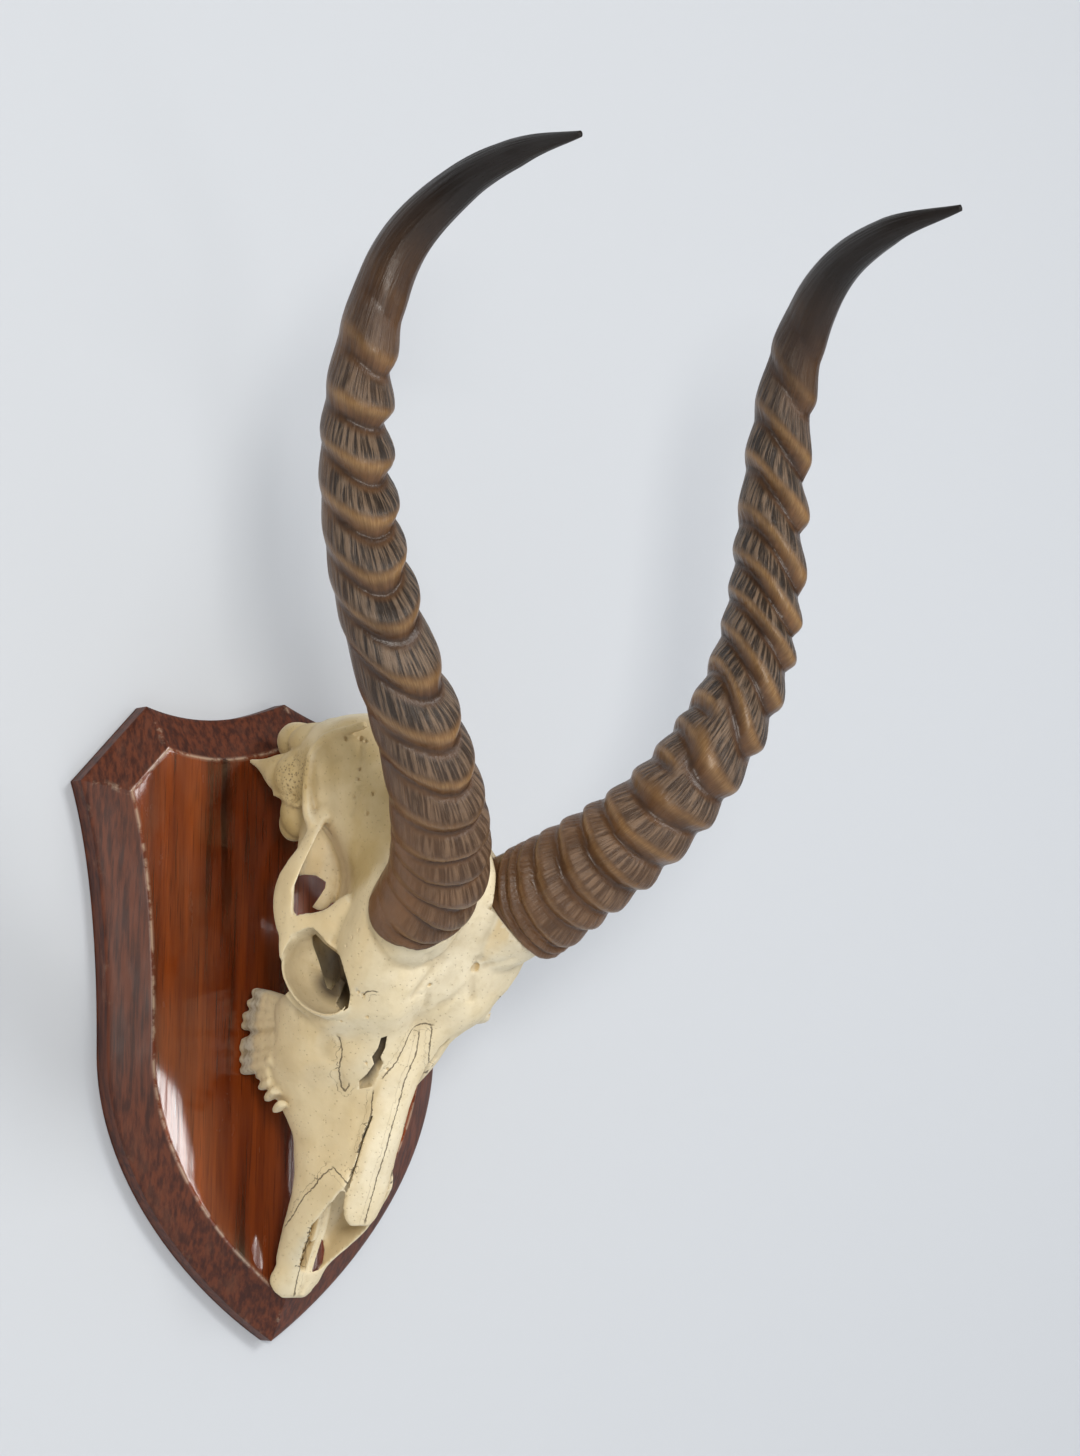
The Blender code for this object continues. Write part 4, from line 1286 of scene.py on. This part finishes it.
def paint_skull(skull, uncut):
    """Stores the sutures as distances from their lines, where the bone is stained or worn, and the
    creases and hole insides that get painted shade.
    """
    surface = Surface(skull)
    points = points_of(skull)
    for name, (single, paired) in SUTURES.items():
        places, sides, ends = [], [], []
        for number, trace in enumerate(single + paired):
            line, normals = surface.line(trace, 0.8)
            if len(line) < 2:
                continue
            halves = ((line, normals), surface.other_side(line))
            for places_here, normals_here in halves[:1 if number < len(single) else 2]:
                along = np.gradient(places_here, axis=0)
                side = np.cross(normals_here, along)
                places.append(places_here)
                sides.append(side / np.maximum(np.linalg.norm(side, axis=1), 1e-9)[:, None])
                reach = np.linspace(0.0, 1.0, len(places_here))
                ends.append(np.minimum(reach, 1.0 - reach))
        places, sides, ends = np.vstack(places), np.vstack(sides), np.concatenate(ends)
        number, away = closest(places, points)
        signed = np.einsum("ij,ij->i", points - places[number], sides[number])
        paint(skull, name, np.where(away < SEAM_REACH, signed / SEAM_REACH, 1.0))
        paint(skull, name + "_near", (away < SEAM_REACH) * smooth_step(0.0, 0.03, ends[number]))
    # The hollow mask gathers dirt and painted shade in the creases.
    paint(skull, "hollow", hollow_mask(skull, points))
    paint(skull, "porous", porous_mask(points))
    paint(skull, "ochre", mask_of_spots(points, OCHRE_SPOTS))
    tooth = [(cusp_x * 0.55 + root_x * 0.45, cusp_y, TOOTH_CUSP_SIDE, 10)
             for cusp_x, cusp_y, root_x, _ in TEETH]
    paint(skull, "tooth", mask_of_spots(points, tooth) * smooth_step(-0.052, -0.046, points[:, 1]))
    # Painted shade: inside these spots, bone that the cuts left below the uncut surface is darkened,
    # the more the deeper it lies.
    deep = mask_of_spots(points, SHADED_HOLE_SPOTS)
    for i in np.nonzero(deep > 0.0)[0]:
        deep[i] *= smooth_step(0.0004, 0.0028, uncut.tree.find_nearest(points[i])[3])
    paint(skull, "deep", deep)
    paint(skull, "side", np.abs(normals_of(skull)[:, 0]))


def hollow_mask(skull, points):
    """How far each point lies in a hollow, from 0 on a rise or flat to 1 in a crease."""
    mesh = skull.data
    ends = np.empty(len(mesh.edges) * 2, dtype=np.int64)
    mesh.edges.foreach_get("vertices", ends)
    a, b = ends.reshape(-1, 2).T
    count = np.bincount(a, minlength=len(points)) + np.bincount(b, minlength=len(points))
    smooth = points.copy()
    for _ in range(14):
        total = np.zeros_like(smooth)
        for axis in range(3):
            total[:, axis] = (np.bincount(a, smooth[b, axis], len(points))
                              + np.bincount(b, smooth[a, axis], len(points)))
        smooth = total / np.maximum(count, 1)[:, None]
    rise = np.einsum("ij,ij->i", smooth - points, normals_of(skull))
    return np.clip(rise / (HOLLOW_REACH * 0.16), 0.0, 1.0)


def make_skull(finish):
    """The skull: body and growths fused into one skin, roughened, then cut open."""
    skull = join_pieces([skull_body()] + skull_growths(), "skull_finished")
    apply_step(skull, "REMESH", mode="VOXEL", voxel_size=SKULL_VOXEL)
    apply_step(skull, "SMOOTH", factor=0.5, iterations=3)
    apply_step(skull, "DECIMATE", ratio=SKULL_SHARE)
    carve_surface(skull)
    uncut = Surface(skull)
    # Cutters that are joined for one cut must not overlap, so they go in three groups.
    first, second, third = pit_cutters(uncut), [rear_block()], []
    for sign in (-1, 1):
        first += [eye_cup(sign), add_prism(LACRIMAL_GAP, -34, -14, sign),
                  add_prism(PALATE_HOLE, 2, 20, -sign)]
        second += [horn_socket(sign), add_prism(EYE_DARK, -46, -25, sign),
                   add_prism(FOSSA, -64, -32, sign)]
    for trace, near, far in ((FOSSA_THROUGH, -50, -2), (NOSE_GAP, -22, -8)):
        third += [add_prism(trace, near, far, sign) for sign in (-1, 1)]
    third.append(add_egg(seen(*TIP_NOTCH), TIP_NOTCH_RADII))
    cut_away(skull, [join_pieces(cutters, "cutters") for cutters in (first, second, third)])
    mend(skull)
    paint_skull(skull, uncut)
    finish_piece(skull, "skull", finish)


def bone(grime_and_shade):
    """Old dry bone: cream with ochre stains, fine pores, dark sutures, dirt and painted shade in the
    hollows, and painted shade inside the holes.
    """
    made, r, shader = new_material("weathered_bone")
    place = r.place()
    blotch = r.noise(place, 22.0, 5.0, 0.6)
    fine = r.noise(place, 160.0, 5.0, 0.6)
    colour = r.mix(r.ramp(blotch, 0.35, 0.65), (0.80, 0.675, 0.44), (0.88, 0.775, 0.56))
    colour = r.mix(r.ramp(fine, 0.45, 0.75, 0.0, 0.30), colour, (0.58, 0.46, 0.25))
    flank = r.times(r.ramp(r.attribute("side"), 0.35, 0.85), r.ramp(blotch, 0.35, 0.6, 0.5, 0.85))
    colour = r.mix(flank, colour, (0.76, 0.575, 0.30))
    aged = r.times(r.attribute("ochre"), r.ramp(blotch, 0.30, 0.60, 0.60, 1.0))
    colour = r.mix(r.times(aged, 0.90), colour, (0.52, 0.360, 0.135))
    # Dirt patches and painted shade, gathered in the skull's creases.
    dirt_and_shade = r.group(grime_and_shade, Vector=place, Scale=45.0, Gather=r.attribute("hollow"), Amount=0.28)
    colour = r.mix(dirt_and_shade.outputs["Mask"], colour, (0.34, 0.235, 0.10))
    enamel = r.mix(r.ramp(fine, 0.42, 0.66), (0.70, 0.64, 0.50), (0.40, 0.32, 0.19))
    colour = r.mix(r.times(r.attribute("tooth"), 0.85), colour, enamel)
    pores = r.cells(place, 420.0)
    rough_pores = r.times(r.ramp(r.cells(place, 640.0), 0.42, 0.16), r.attribute("porous"))
    colour = r.mix(r.ramp(pores, 0.20, 0.07, 0.0, 0.35), colour, (0.24, 0.16, 0.07))
    colour = r.mix(r.times(rough_pores, 0.65), colour, (0.17, 0.115, 0.05))
    wander = r.times(r.minus(r.noise(place, 420.0, 3.0), 0.5), 0.75)
    cracks = 0.0
    for name in SUTURES:
        offset = r.math("ABSOLUTE", r.plus(r.attribute(name), wander))
        cracks = r.most(cracks, r.times(r.ramp(offset, 0.17, 0.06), r.attribute(name + "_near")))
    colour = r.mix(r.times(cracks, 0.80), colour, (0.07, 0.045, 0.022))
    height = r.minus(r.ramp(pores, 0.05, 0.25), r.times(cracks, 1.6))
    height = r.minus(height, r.times(rough_pores, 1.5))
    r.fill(shader, {
        # The deep mask paints shade inside the holes in nearly black brown.
        "Base Color": r.mix(r.times(r.attribute("deep"), 0.9), colour, (0.05, 0.035, 0.025)),
        "Roughness": r.ramp(fine, 0.3, 0.7, 0.50, 0.66),
        "Normal": r.bump(height, 0.6, 0.0004, r.bump(fine, 0.35, 0.0008)),
        "Specular IOR Level": 0.35,
    })
    return made


def main():
    place_camera()
    light_room()
    make_backdrop()
    streaks, grime_and_shade = streak_group(), grime_and_shade_group()
    make_board(mahogany(streaks))
    horn_finish = keratin(streaks, grime_and_shade)
    make_horn("horn_left", -1, NEAR_HORN_LIPS, (), horn_finish)
    make_horn("horn_right", 1, FAR_HORN_LIPS, FAR_HORN_SHORT_RINGS, horn_finish)
    make_skull(bone(grime_and_shade))


main()
